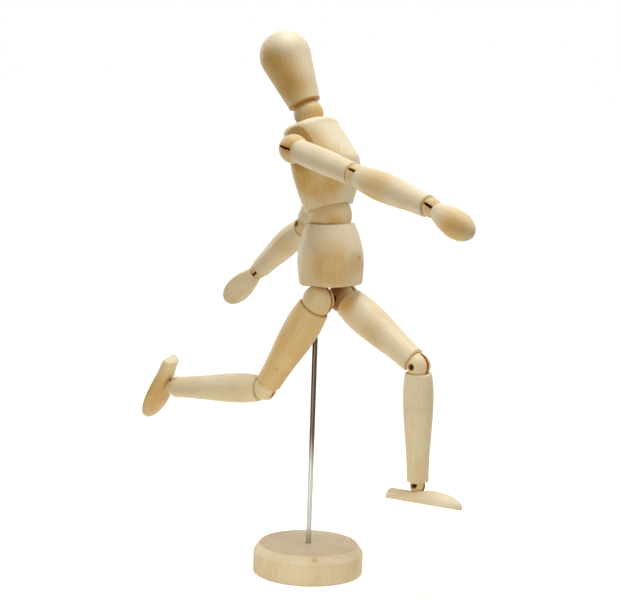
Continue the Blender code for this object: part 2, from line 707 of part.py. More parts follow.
def make_arm(label, chest_frame):
    side = SIDES[label]
    shoulder = (side * SHOULDER_SPACING / 2, 0, shoulder_height())
    swing = joint(label + "_arm_swing", chest_frame, shoulder, (-ARM_FORWARD[label], 0, 0))
    upper = joint(label + "_arm_raise", swing, turn=(0, -side * ARM_RAISE[label], 0))
    elbow_turn = joint(label + "_elbow_turn", upper, (0, 0, -UPPER_ARM_LENGTH), (0, 0, ELBOW_TURN[label]))
    forearm = joint(label + "_elbow_bend", elbow_turn, turn=(-ELBOW_BEND[label], 0, 0))
    wrist_turn = joint(label + "_wrist_turn", forearm, (0, 0, -FOREARM_LENGTH), (0, 0, WRIST_TURN[label]))
    hand = joint(label + "_wrist_bend", wrist_turn, turn=(-WRIST_BEND[label], WRIST_TILT[label], 0))
    peg_frame = joint(label + "_shoulder_peg_seat", chest_frame, shoulder)
    inward = turn_y(-90 * side)
    slot = turn_y(-SHOULDER_SLOT_TILT * side) @ turn_z(90)
    make_peg(label + "_shoulder_peg", SHOULDER_DIAMETER, peg_frame, inward)
    make_limb_ball(label + "_shoulder_ball", SHOULDER_DIAMETER, swing, 1, inward, slot)
    make_pin(label + "_shoulder_pin", SHOULDER_DIAMETER, swing, slot)
    make_limb(label + "_upper_arm", UPPER_ARM_LENGTH, UPPER_ARM_DIAMETERS, UPPER_ARM_SWELL,
              SHOULDER_DIAMETER, ELBOW_DIAMETER, upper)
    make_tie(label + "_upper_arm_tie", tie_length(UPPER_ARM_LENGTH, ELBOW_DIAMETER), upper, turn_z(90))
    make_limb_ball(label + "_elbow_ball", ELBOW_DIAMETER, elbow_turn, -side)
    make_pin(label + "_elbow_pin", ELBOW_DIAMETER, elbow_turn)
    make_limb(label + "_forearm", FOREARM_LENGTH, FOREARM_DIAMETERS, FOREARM_SWELL, ELBOW_DIAMETER,
              WRIST_DIAMETER, forearm)
    make_tie(label + "_forearm_tie", tie_length(FOREARM_LENGTH, WRIST_DIAMETER), forearm)
    tilt = turn_y(WRIST_TILT[label])
    make_limb_ball(label + "_wrist_ball", WRIST_DIAMETER, wrist_turn, -side, slot=tilt)
    make_pin(label + "_wrist_pin", WRIST_DIAMETER, wrist_turn, tilt)
    make_hand(label + "_hand", hand, PALM_SIDE[label])
    make_tie(label + "_hand_tie", WRIST_DIAMETER / 2 + TIE_IN_HAND, hand)


def make_figure():
    clear_scene()
    make_base()
    make_stand_rod()
    hips = (0, -HIP_AHEAD_OF_ROD, HIP_HEIGHT)
    pelvis_frame = joint("pelvis_frame", None, hips, (-PELVIS_BACK, 0, 0))
    bpy.context.view_layer.update()
    make_pelvis(pelvis_frame)
    waist_frame = joint("waist_bend", pelvis_frame, (0, 0, waist_height()), (-CHEST_BACK_LEAN, 0, 0))
    carried(make_waist(), waist_frame)
    chest_frame = joint("chest_turn", waist_frame, turn=(0, 0, CHEST_TURN))
    make_chest(chest_frame)
    make_spine_spring(chest_frame)
    neck_frame = joint("neck_turn", chest_frame, (0, 0, neck_height()), (0, 0, NECK_TURN))
    carried(make_neck_ball(), neck_frame)
    head_frame = joint("head_nod", neck_frame, turn=(-HEAD_BACK, 0, 0))
    make_head(head_frame)
    for label in SIDES:
        make_arm(label, chest_frame)
        make_leg(label, pelvis_frame)
    bpy.context.view_layer.update()


make_figure()
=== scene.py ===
"""Jointed wooden lay figure on a rod stand, posed as a runner: the looks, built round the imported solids."""
import json
import math
from functools import partial

import bpy
from mathutils import Matrix, Vector


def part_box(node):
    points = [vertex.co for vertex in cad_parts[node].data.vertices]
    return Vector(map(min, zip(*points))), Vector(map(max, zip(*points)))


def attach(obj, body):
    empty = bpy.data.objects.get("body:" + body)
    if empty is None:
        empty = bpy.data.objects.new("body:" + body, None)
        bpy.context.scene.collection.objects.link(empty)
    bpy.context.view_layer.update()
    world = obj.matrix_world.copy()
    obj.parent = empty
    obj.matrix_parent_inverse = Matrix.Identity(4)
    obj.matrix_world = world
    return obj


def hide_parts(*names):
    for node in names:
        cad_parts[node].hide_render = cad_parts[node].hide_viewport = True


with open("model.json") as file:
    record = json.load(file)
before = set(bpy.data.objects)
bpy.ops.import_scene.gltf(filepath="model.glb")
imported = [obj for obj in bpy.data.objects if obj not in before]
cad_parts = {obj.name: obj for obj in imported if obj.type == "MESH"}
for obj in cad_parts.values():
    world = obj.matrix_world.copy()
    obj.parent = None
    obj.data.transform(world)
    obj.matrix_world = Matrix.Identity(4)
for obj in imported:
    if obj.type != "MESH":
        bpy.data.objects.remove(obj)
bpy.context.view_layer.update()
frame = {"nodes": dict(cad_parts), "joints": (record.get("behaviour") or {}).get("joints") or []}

# ----------------------------------------------------------
# Base: a thick disc of pale hardwood, turned with a chamfered top edge and a fine bevel at the
# foot, satin lacquered. Its grain stands upright, so the growth rings wander over the top.
MM = 0.001
MERGE = 0.002 * MM
BASE_RADIUS = 31.8 * MM
BASE_HEIGHT = 17.2 * MM
BASE_CHAMFER_WIDTH = 3.5 * MM
BASE_CHAMFER_HEIGHT = 4.7 * MM
BASE_FOOT_BEVEL = 0.8 * MM
BASE_SOCKET_RADIUS = 1.65 * MM
BASE_SOCKET_DEPTH = 12.0 * MM
BASE_EDGE_ROUND = 0.35 * MM
BASE_PALE = (0.83, 0.77, 0.61)
BASE_RING = (0.52, 0.39, 0.21)
# Painted shade: the orange-brown of the gaps round seat rims, slot lips and the head's rim, and how far it
# reaches.
RIM_SHADE = (0.60, 0.29, 0.06)
RIM_SHADE_REACH = 0.7 * MM
EDGE_GOLD = (0.70, 0.47, 0.17)
AMBER = (0.85, 0.63, 0.29)
WAVE_GAP = 0.314  # between the rings of the wave texture at scale 1
RING_DISTORTION = 6.0
LATE_WOOD_POWER = 2.2
FIBRE_SCALE, FLECK_SCALE, CLOUD_SCALE = 700, 2600, 45
FIBRE_MIDDLE, FIBRE_TONE = 0.42, 0.572
FLECK_LIMIT, FLECK_TONE, FLECK_DEPTH = 0.67, 0.14, 0.4
CLOUD_MIDDLE = 0.45
GRAIN_DEPTH = 0.12 * MM
LACQUER_ROUGHNESS, LACQUER_UNEVENNESS, LACQUER_SPECULAR = 0.30, 0.22, 0.22


def turn(name, profile, around=72):
    """Draw half a section point by point, as radius and height, and turn it about Z."""
    bpy.ops.object.select_all(action="DESELECT")
    bpy.ops.mesh.primitive_plane_add(size=MM)
    piece = bpy.context.object
    piece.name = name
    bpy.ops.object.mode_set(mode="EDIT")
    bpy.ops.mesh.select_all(action="SELECT")
    bpy.ops.mesh.merge(type="CENTER")
    radius, height = profile[0]
    bpy.ops.transform.translate(value=(radius, 0, height))
    for next_radius, next_height in profile[1:]:
        step = (next_radius - radius, 0, next_height - height)
        bpy.ops.mesh.extrude_region_move(TRANSFORM_OT_translate={"value": step})
        radius, height = next_radius, next_height
    bpy.ops.mesh.select_all(action="SELECT")
    bpy.ops.mesh.spin(steps=around, angle=2 * math.pi, center=(0, 0, 0), axis=(0, 0, 1))
    bpy.ops.mesh.select_all(action="SELECT")
    bpy.ops.mesh.remove_doubles(threshold=MERGE)
    bpy.ops.mesh.normals_make_consistent(inside=False)
    bpy.ops.object.mode_set(mode="OBJECT")
    return piece


def pick(piece):
    """Select a piece and nothing else."""
    bpy.ops.object.select_all(action="DESELECT")
    piece.select_set(True)
    bpy.context.view_layer.objects.active = piece


def apply_modifier(piece, modifier):
    pick(piece)
    bpy.ops.object.modifier_apply(modifier=modifier.name)


def soften(piece, width, sharpest=40, segments=3):
    """Round the edges that are sharper than an angle."""
    bevel = piece.modifiers.new("soft_edges", "BEVEL")
    bevel.width = width
    bevel.segments = segments
    bevel.limit_method = "ANGLE"
    bevel.angle_limit = math.radians(sharpest)
    apply_modifier(piece, bevel)


def settle(piece, place=Matrix.Identity(4), smooth_below=35):
    """Put a piece in its place, with the place in its mesh, and smooth its round faces."""
    pick(piece)
    piece.matrix_world = place @ piece.matrix_world
    bpy.ops.object.transform_apply(location=True, rotation=True, scale=True)
    bpy.ops.object.mode_set(mode="EDIT")
    bpy.ops.mesh.select_all(action="SELECT")
    bpy.ops.mesh.remove_doubles(threshold=MERGE)
    bpy.ops.object.mode_set(mode="OBJECT")
    bpy.ops.object.shade_smooth_by_angle(angle=math.radians(smooth_below))
    return piece


def new_finish(name):
    material = bpy.data.materials.new(name)
    material.use_nodes = True
    return material, material.node_tree, material.node_tree.nodes["Principled BSDF"]


def wire(tree, node, inputs):
    """Set a node's inputs: a value goes on the socket itself, and another node's output is linked to it."""
    for socket, value in inputs.items():
        if isinstance(value, bpy.types.NodeSocket):
            tree.links.new(value, node.inputs[socket])
        else:
            node.inputs[socket].default_value = value
    return node


def add_node(tree, kind, inputs=None, **settings):
    node = tree.nodes.new("ShaderNode" + kind)
    for setting, value in settings.items():
        setattr(node, setting, value)
    return wire(tree, node, inputs or {})


def maths(tree, operation, first, second=0, clamp=False):
    return add_node(tree, "Math", {0: first, 1: second}, operation=operation, use_clamp=clamp).outputs[0]


def mixed(tree, factor, first, second, blend="MIX"):
    """A colour between two, each given as a colour or as another node's output."""
    first, second = ((*side, 1) if isinstance(side, tuple) else side for side in (first, second))
    inputs = {"Factor": factor, 6: first, 7: second}
    return add_node(tree, "Mix", inputs, data_type="RGBA", blend_type=blend).outputs[2]


def noise(tree, vector, scale, detail, roughness=0.55):
    inputs = {"Vector": vector, "Scale": scale, "Detail": detail, "Roughness": roughness}
    return add_node(tree, "TexNoise", inputs).outputs["Fac"]


def ramp(tree, value, start, end, low, high):
    """Go smoothly from low to high as a value goes from start to end."""
    inputs = {"Value": value, "From Min": start, "From Max": end, "To Min": low, "To Max": high}
    return add_node(tree, "MapRange", inputs, interpolation_type="SMOOTHSTEP").outputs["Result"]


def darker_spot(x, y, z, inner, outer, strength, colour):
    """A darker place in a piece's own frame, in millimetres: its middle, where it is full and where it ends. It
    serves for real marks and for painted shade.
    """
    return (x * MM, y * MM, z * MM), inner * MM, outer * MM, strength, colour


def wood(name, place, heart, pale, dark, seats=(), rim=0.3, edges=(), darker_spots=(), slot=None, end_grain=0.0,
         ring_gap=2.6 * MM, rings=0.11, stretch=7.0):
    """Lacquered wood whose grain runs along the place's Z axis.

    `heart` is the middle of the growth rings in the piece's own frame: the further off, the straighter
    the lines of the grain run. `seats` are the centres and radii of the piece's hollows, round whose rims
    painted shade darkens the gap. `edges` are darker edges round the piece's axis (on the head, painted
    shade under its rim), each a radius, a height, a reach, a strength and a colour. The spots are darker
    places in the piece's frame: real marks and knots, and painted shade. `slot` is a sawn slot: half its
    width, its centre, the directions across it and up, its end above the centre, the ball's radius, the
    painted shade inside and how far painted shade darkens its lips.
    """
    material, tree, shader = new_finish(name)
    calc, tint, fade = partial(maths, tree), partial(mixed, tree), partial(ramp, tree)
    coordinates = add_node(tree, "TexCoord").outputs
    position = coordinates["Object"]
    axis, foot = place.to_3x3().col[2], place.translation

    def measured(vector, direction):
        """How far a vector reaches along a direction."""
        return add_node(tree, "VectorMath", {0: vector, 1: direction}, operation="DOT_PRODUCT").outputs["Value"]

    def beyond(start, direction):
        """How far a point lies along a direction from a start."""
        return calc("SUBTRACT", measured(position, direction), start.dot(direction))

    def distance(centre):
        return add_node(tree, "VectorMath", {0: position, 1: centre}, operation="DISTANCE").outputs["Value"]

    def gap_squared(value, target):
        return calc("POWER", calc("ABSOLUTE", calc("SUBTRACT", value, target)), 2)

    along = {"Vector": position, "Location": place @ Vector(heart), "Rotation": place.to_euler(),
             "Scale": (1, 1, stretch)}
    grain = add_node(tree, "Mapping", along, vector_type="TEXTURE").outputs["Vector"]
    years = {"Vector": grain, "Scale": WAVE_GAP / ring_gap, "Distortion": RING_DISTORTION, "Detail": 2.0,
             "Detail Scale": 0.35}
    growth = add_node(tree, "TexWave", years, wave_type="RINGS", rings_direction="Z", wave_profile="SAW")
    late_wood = calc("POWER", growth.outputs["Fac"], LATE_WOOD_POWER)
    fibres = noise(tree, grain, FIBRE_SCALE, 5)
    flecks = calc("GREATER_THAN", noise(tree, grain, FLECK_SCALE, 2), FLECK_LIMIT)
    cloud = noise(tree, position, CLOUD_SCALE, 3)

    # The rings show on end grain, and hardly on the sides.
    ring_share = rings
    if end_grain:
        across_fibres = calc("POWER", calc("ABSOLUTE", measured(coordinates["Normal"], axis)), 8)
        ring_share = calc("ADD", calc("MULTIPLY", across_fibres, rings * 0.85), rings * 0.15)
    tone = calc("MULTIPLY", late_wood, ring_share)
    tone = calc("ADD", tone, calc("MULTIPLY", calc("SUBTRACT", fibres, FIBRE_MIDDLE), FIBRE_TONE))
    tone = calc("ADD", tone, calc("MULTIPLY", flecks, FLECK_TONE))
    tone = calc("ADD", tone, calc("SUBTRACT", cloud, CLOUD_MIDDLE), clamp=True)
    colour = tint(tone, pale, dark)
    if end_grain:
        colour = tint(calc("MULTIPLY", across_fibres, end_grain), colour, dark)

    # The darker spots, real marks and painted shade alike, are made patchy by the cloud noise.
    patchy = calc("ADD", calc("MULTIPLY", cloud, 1.5), 0.2, clamp=True)
    for point, inner, outer, strength, darker_colour in darker_spots:
        spot = calc("MULTIPLY", fade(distance(place @ Vector(point)), outer, inner, 0, strength), patchy)
        colour = tint(spot, colour, darker_colour, "MULTIPLY")
    for centre, radius in seats:
        rim_shade = fade(distance(centre), radius + RIM_SHADE_REACH, radius + 0.1 * MM, 0, rim)
        colour = tint(rim_shade, colour, RIM_SHADE)
    for radius, height, reach, strength, darker_colour in edges:
        rise = beyond(foot, axis)
        off_axis = calc("SUBTRACT", calc("POWER", distance(foot), 2), calc("POWER", rise, 2))
        outward, upward = gap_squared(calc("SQRT", off_axis), radius), gap_squared(rise, height)
        from_edge = calc("SQRT", calc("ADD", outward, upward))
        colour = tint(fade(from_edge, reach, 0.3 * reach, 0, strength), colour, darker_colour)
    if slot:
        # Painted shade: the lips darken away from the saw cut, and the walls darken inwards.
        half_width, middle, across, up, top, radius, shade, lip_reach = slot
        from_saw = calc("ABSOLUTE", beyond(middle, across))
        below_end = calc("LESS_THAN", beyond(middle, up), top + 0.3 * MM)
        lips = fade(from_saw, half_width + lip_reach, half_width + 0.15 * MM, 0, 0.75)
        colour = tint(calc("MULTIPLY", lips, below_end), colour, RIM_SHADE)
        walls = tint(fade(distance(middle), radius - 0.4 * MM, radius - 1.9 * MM, 0, 1), RIM_SHADE, shade)
        sawn = calc("LESS_THAN", from_saw, half_width + 0.08 * MM)
        colour = tint(calc("MULTIPLY", sawn, below_end), colour, walls)

    gloss = calc("ADD", calc("MULTIPLY", fibres, LACQUER_UNEVENNESS), LACQUER_ROUGHNESS)
    relief_height = calc("SUBTRACT", fibres, calc("MULTIPLY", flecks, FLECK_DEPTH))
    relief = add_node(tree, "Bump", {"Strength": 0.12, "Distance": GRAIN_DEPTH, "Height": relief_height})
    wire(tree, shader, {"Base Color": colour, "Roughness": gloss, "Specular IOR Level": LACQUER_SPECULAR,
                        "Normal": relief.outputs["Normal"]})
    return material


def hand_over(piece, material, node, body):
    """Give a piece its finish, and let it stand for its solid on the body that carries it."""
    piece.data.materials.clear()
    piece.data.materials.append(material)
    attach(piece, body)
    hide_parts(node)


base = turn("base_wood", [
    (0, BASE_HEIGHT - BASE_SOCKET_DEPTH),
    (BASE_SOCKET_RADIUS, BASE_HEIGHT - BASE_SOCKET_DEPTH),
    (BASE_SOCKET_RADIUS, BASE_HEIGHT),
    (BASE_RADIUS - BASE_CHAMFER_WIDTH, BASE_HEIGHT),
    (BASE_RADIUS, BASE_HEIGHT - BASE_CHAMFER_HEIGHT),
    (BASE_RADIUS, BASE_FOOT_BEVEL),
    (BASE_RADIUS - BASE_FOOT_BEVEL, 0),
    (0, 0),
], around=128)
soften(base, BASE_EDGE_ROUND, sharpest=30)
settle(base, smooth_below=30)
base_edges = [(BASE_RADIUS - BASE_CHAMFER_WIDTH, BASE_HEIGHT, 0.9 * MM, 0.5, EDGE_GOLD)]
# The socket's rim is darkened with painted shade; the small amber spot on the chamfer is a real mark.
base_finish = wood("base_finish", Matrix.Identity(4), (3 * MM, 5 * MM, 0), BASE_PALE, BASE_RING,
                   seats=[((0, 0, BASE_HEIGHT), BASE_SOCKET_RADIUS - 0.1 * MM)], rim=0.6, edges=base_edges,
                   darker_spots=[darker_spot(-20.6, -21.6, 15, 0.5, 2.4, 0.9, AMBER)],
                   end_grain=0.32, ring_gap=2.5 * MM, rings=0.6, stretch=11.0)
hand_over(base, base_finish, "base", "stand")

# ----------------------------------------------------------
# Stand rod: drawn steel wire, bright and a little oiled, cut square with broken edges. It is
# glued into the base and into the underside of the pelvis, and carries the whole figure.
ROD_RADIUS = 1.5 * MM
ROD_EDGE = 0.2 * MM
STEEL_BRIGHT = (0.47, 0.46, 0.43)
STEEL_DULL = (0.37, 0.35, 0.31)
# The rod's upper part is painted dark brown: a painted reflection of the wooden figure above it.
ROD_PAINTED_REFLECTION = (0.060, 0.032, 0.012)
ROD_REFLECTION_FROM = 56 * MM
ROD_REFLECTION_TO = 84 * MM
ROD_REFLECTION_STRENGTH = 0.92
DRAWN_STRETCH = 0.05
DRAWN_LINES, DULL_PATCHES = 3500, 60


def steel(name, bright, dull, roughness, darker_colour=None, reflection_from=0.0, reflection_to=0.0):
    """Drawn steel: fine lines along the wire, a few duller patches, and perhaps a darker upper part, a painted
    reflection.
    """
    material, tree, shader = new_finish(name)
    position = add_node(tree, "TexCoord").outputs["Object"]
    drawn = add_node(tree, "Mapping", {"Vector": position, "Scale": (1, 1, DRAWN_STRETCH)})
    lines = noise(tree, drawn.outputs["Vector"], DRAWN_LINES, 3, 0.5)
    colour = mixed(tree, noise(tree, position, DULL_PATCHES, 4, 0.5), bright, dull)
    if darker_colour:
        height = add_node(tree, "SeparateXYZ", {0: position}).outputs["Z"]
        colour = mixed(tree, ramp(tree, height, reflection_from, reflection_to, 0, ROD_REFLECTION_STRENGTH), colour, darker_colour)
    gloss = add_node(tree, "MapRange", {"Value": lines, "To Min": roughness - 0.08, "To Max": roughness + 0.1})
    relief = add_node(tree, "Bump", {"Strength": 0.05, "Distance": 0.02 * MM, "Height": lines})
    wire(tree, shader, {"Base Color": colour, "Metallic": 1.0, "Roughness": gloss.outputs["Result"],
                        "Normal": relief.outputs["Normal"]})
    return material


rod_low, rod_high = (corner[2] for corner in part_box("stand_rod"))
rod = turn("stand_rod_steel", [
    (0, rod_low),
    (ROD_RADIUS - ROD_EDGE, rod_low),
    (ROD_RADIUS, rod_low + ROD_EDGE),
    (ROD_RADIUS, rod_high - ROD_EDGE),
    (ROD_RADIUS - ROD_EDGE, rod_high),
    (0, rod_high),
], around=48)
settle(rod)
rod_finish = steel("rod_finish", STEEL_BRIGHT, STEEL_DULL, 0.24, ROD_PAINTED_REFLECTION, ROD_REFLECTION_FROM, ROD_REFLECTION_TO)
hand_over(rod, rod_finish, "stand_rod", "stand")

# ----------------------------------------------------------
# Pelvis: a turned barrel of pale wood, planed flat on four sides so that the flats run out upwards
# in arches. A hollow in its top seats the waist ball, and two underneath seat the hip balls on pegs.
FIT = 0.15 * MM
PALE_WOOD = (0.88, 0.835, 0.665)
PALE_GRAIN = (0.69, 0.49, 0.21)
PELVIS_FOOT = 8.1 * MM
PELVIS_HEIGHT = 34.9 * MM
PELVIS_TOP_RADIUS = 13.8 * MM
PELVIS_RADIUS = 18.8 * MM
PELVIS_FOOT_RADIUS = 17.7 * MM
PELVIS_FOOT_ROUND = 1.6 * MM
PELVIS_SWELL_HEIGHT = 14.5 * MM
PELVIS_TAPER_POWER = 1.7
PELVIS_FLAT_HEIGHT = 20.0 * MM
PELVIS_FLAT_DEPTH = 1.8 * MM
PELVIS_FLAT_SOFTNESS = 0.05 * MM
PELVIS_EDGE_ROUND = 0.35 * MM
PELVIS_ROWS = 60
RED_MARK = (0.86, 0.55, 0.40)
HIP_SHADE = (0.50, 0.27, 0.11)
WAIST_RADIUS = 12.3 * MM
WAIST_SHOWING = 9.0 * MM
HIP_RADIUS = 9.0 * MM
PEG_BORE = 1.1 * MM
PEG_IN_TRUNK = 7.3 * MM

joints = {entry["name"]: entry for entry in frame["joints"]}


def joint_place(name):
    return Vector(joints[name]["pos_m"])


def joint_axis(name):
    return Vector(joints[name]["axis"]).normalized()


def standing(centre, up, across):
    """A place at a centre, with Z along `up` and X as near to `across` as it can be."""
    z = up.normalized()
    y = z.cross(across).normalized()
    x = y.cross(z)
    turned = Matrix((x, y, z)).transposed().to_4x4()
    return Matrix.Translation(centre) @ turned


def stack(name, rows, point, around):
    """Pull a ring up row by row and give every point its place from its row and its way round."""
    bpy.ops.object.select_all(action="DESELECT")
    bpy.ops.mesh.primitive_circle_add(vertices=around, radius=1, fill_type="NOTHING")
    piece = bpy.context.object
    piece.name = name
    bpy.ops.object.mode_set(mode="EDIT")
    bpy.ops.mesh.select_all(action="SELECT")
    for _ in range(rows - 1):
        bpy.ops.mesh.extrude_region_move(TRANSFORM_OT_translate={"value": (0, 0, 1)})
    bpy.ops.mesh.select_all(action="SELECT")
    bpy.ops.mesh.fill_holes(sides=0)
    bpy.ops.object.mode_set(mode="OBJECT")
    for vertex in piece.data.vertices:
        vertex.co = point(round(vertex.co.z), vertex.co.x, vertex.co.y)
    bpy.ops.object.mode_set(mode="EDIT")
    bpy.ops.mesh.select_all(action="SELECT")
    bpy.ops.mesh.normals_make_consistent(inside=False)
    bpy.ops.object.mode_set(mode="OBJECT")
    return piece


def arc(count, first=1):
    """Even angles up to a right angle."""
    return [math.pi / 2 * step / count for step in range(first, count + 1)]


def ball_profile(radius, rows=28):
    angles = [math.pi * row / rows for row in range(1, rows)]
    arched = [(radius * math.sin(angle), radius * math.cos(angle)) for angle in angles]
    return [(0, radius)] + arched + [(0, -radius)]


def hollow(piece, tool):
    """Cut a tool's shape out of a piece and throw the tool away."""
    cut = piece.modifiers.new("cut", "BOOLEAN")
    cut.operation = "DIFFERENCE"
    cut.solver = "EXACT"
    cut.object = tool
    apply_modifier(piece, cut)
    bpy.data.objects.remove(tool, do_unlink=True)


def drill(piece, radius, start, end):
    """Bore a round hole from one point to another."""
    start, end = Vector(start), Vector(end)
    bpy.ops.object.select_all(action="DESELECT")
    bpy.ops.mesh.primitive_cylinder_add(vertices=32, radius=radius, depth=(end - start).length)
    bit = bpy.context.object
    hollow(piece, settle(bit, standing((start + end) / 2, end - start, (end - start).orthogonal())))


def seat_tool(radius, centre):
    tool = turn("seat_tool", ball_profile(radius + FIT), around=64)
    return settle(tool, Matrix.Translation(centre))


def pelvis_radius(rise):
    if rise < PELVIS_SWELL_HEIGHT:
        share = 1 - rise / PELVIS_SWELL_HEIGHT
        return PELVIS_RADIUS - (PELVIS_RADIUS - PELVIS_FOOT_RADIUS) * share ** 2
    share = (rise - PELVIS_SWELL_HEIGHT) / (PELVIS_HEIGHT - PELVIS_SWELL_HEIGHT)
    return PELVIS_RADIUS + (PELVIS_TOP_RADIUS - PELVIS_RADIUS) * share ** PELVIS_TAPER_POWER


pelvis_rows = [(PELVIS_FOOT_ROUND * (1 - math.cos(lift)), PELVIS_FOOT_ROUND * (1 - math.sin(lift)))
               for lift in arc(6, first=0)]
for step in range(1, PELVIS_ROWS + 1):
    pelvis_rows.append((PELVIS_FOOT_ROUND + (PELVIS_HEIGHT - PELVIS_FOOT_ROUND) * step / PELVIS_ROWS, 0))


def pelvis_point(row, across, along):
    """The lesser of the barrel and the flats, with a soft edge between them."""
    rise, inset = pelvis_rows[row]
    foot_flat = PELVIS_FOOT_RADIUS - PELVIS_FLAT_DEPTH
    flat = foot_flat + (pelvis_radius(PELVIS_FLAT_HEIGHT) - foot_flat) * rise / PELVIS_FLAT_HEIGHT
    turned, planed = pelvis_radius(rise), flat / max(abs(across), abs(along))
    blend = max(PELVIS_FLAT_SOFTNESS - abs(turned - planed), 0) ** 2 / (4 * PELVIS_FLAT_SOFTNESS)
    radius = min(turned, planed) - blend - inset
    return (radius * across, radius * along, PELVIS_FOOT + rise)


right_hip, left_hip = joint_place("right_hip_turn"), joint_place("left_hip_turn")
pelvis_place = standing((right_hip + left_hip) / 2, joint_axis("right_hip_turn"), left_hip - right_hip)
pelvis = stack("pelvis_wood", len(pelvis_rows), pelvis_point, around=224)
waist_height = PELVIS_FOOT + PELVIS_HEIGHT + WAIST_SHOWING / 2
hollow(pelvis, seat_tool(WAIST_RADIUS, (0, 0, waist_height)))
hip_offset = (left_hip - right_hip).length / 2
for side in (-1, 1):
    hollow(pelvis, seat_tool(HIP_RADIUS, (side * hip_offset, 0, 0)))
soften(pelvis, PELVIS_EDGE_ROUND, sharpest=45, segments=2)
for side in (-1, 1):
    drill(pelvis, PEG_BORE, (side * hip_offset, 0, 0), (side * hip_offset, 0, HIP_RADIUS + PEG_IN_TRUNK))
rod_end = pelvis_place.inverted() @ Vector((0, 0, rod_high + FIT))
drill(pelvis, BASE_SOCKET_RADIUS, pelvis_place.inverted() @ Vector((0, 0, rod_low)), rod_end)
settle(pelvis, pelvis_place, smooth_below=12)
pelvis_seats = [(pelvis_place @ Vector((0, 0, waist_height)), WAIST_RADIUS + FIT),
                (right_hip, HIP_RADIUS + FIT), (left_hip, HIP_RADIUS + FIT)]
# Painted shade under the pelvis between the hips; amber patches on its near side, partly the wood's own tone and
# partly painted shade; small red marks of the wood.
pelvis_marks_and_shade = [
    darker_spot(0, -4, 7, 6, 11, 0.9, HIP_SHADE),
    darker_spot(-13, -12, 20, 5, 19, 0.8, AMBER),
    darker_spot(3, -17.5, 20, 1, 9, 0.6, AMBER),
    darker_spot(3.4, -17.6, 24, 0.4, 2.2, 0.8, RED_MARK),
    darker_spot(-6.2, -14.2, 40, 0.2, 1.1, 0.6, RED_MARK),
    darker_spot(-6.1, -14.8, 36, 0.2, 0.9, 0.7, RED_MARK),
]
pelvis_finish = wood("pelvis_finish", pelvis_place, (30 * MM, -42 * MM, 8 * MM), PALE_WOOD, PALE_GRAIN,
                     pelvis_seats, rim=0.45, darker_spots=pelvis_marks_and_shade)
hand_over(pelvis, pelvis_finish, "pelvis", "stand")

# ----------------------------------------------------------
# Waist: a ball turned from a yellower wood, which rolls between the hollows of the pelvis and the
# chest. A spring through the chest ends in a bore in its top and pulls it tight.
BALL_WOOD = (0.82, 0.69, 0.44)
BALL_GRAIN = (0.60, 0.42, 0.18)
SPRING_BORE = 0.7 * MM
SPRING_IN_WAIST = 5.1 * MM


def bored(profile, depth):
    """Let a bore for the spring's end into the top of a ball's section."""
    top = profile[0][1]
    outside = [point for point in profile if point[0] > SPRING_BORE or point[1] < 0]
    rim = math.sqrt(top ** 2 - SPRING_BORE ** 2)
    return [(0, top - depth), (SPRING_BORE, top - depth), (SPRING_BORE, rim)] + outside


waist_place = standing(joint_place("waist_bend"), joint_axis("chest_turn"), joint_axis("waist_bend"))
waist = turn("waist_wood", bored(ball_profile(WAIST_RADIUS), SPRING_IN_WAIST))
settle(waist, waist_place)
waist_finish = wood("waist_finish", waist_place, (-25 * MM, 30 * MM, 0), BALL_WOOD, BALL_GRAIN,
                    darker_spots=[darker_spot(-8, -7, -6, 1, 8, 0.7, AMBER)])
hand_over(waist, waist_finish, "waist", "waist")

# ----------------------------------------------------------
# Chest: a block of pale wood, deep at the breast and narrow at the waist, shaped round and
# sanded. A scoop on each side takes the shoulder ball, and hollows take the waist and the neck.
CHEST_HEIGHT = 49.5 * MM
CHEST_BREAST_HEIGHT = 24.8 * MM
CHEST_BOTTOM_HALF_WIDTH = 13.5 * MM
CHEST_HALF_WIDTH = 20.8 * MM
CHEST_TOP_HALF_WIDTH = 17.0 * MM
CHEST_FRONT = 22.3 * MM
CHEST_BACK = 13.2 * MM
CHEST_END_FRONT = 13.3 * MM
CHEST_END_BACK = 13.0 * MM
CHEST_TOP_FRONT = 9.0 * MM
CHEST_TOP_ROUND = 4.0 * MM
SHOULDER_BELOW_TOP = 16.0 * MM
SHOULDER_RADIUS = 8.2 * MM
SCOOP_RADIUS = 30.0 * MM
SCOOP_GAP = 0.4 * MM
NECK_RADIUS = 8.5 * MM
NECK_ABOVE_CHEST = 5.0 * MM
CHEST_TOP_SLOPE = 0.09
CHEST_TOP_CROWN = 1.0 * MM
CHEST_EDGE_ROUND = 0.5 * MM
SPRING_ROOM = 2.7 * MM
SQUARENESS = 2.4


def eased(start, end, share):
    """Go from start to end with a level beginning and end."""
    return start + (end - start) * (1 - math.cos(math.pi * share)) / 2


def squared(share):
    """Push a round section a little towards a square one."""
    return math.copysign(abs(share) ** (2 / SQUARENESS), share)


def shares(count, first=1):
    """Even shares up to 1."""
    return [step / count for step in range(first, count + 1)]


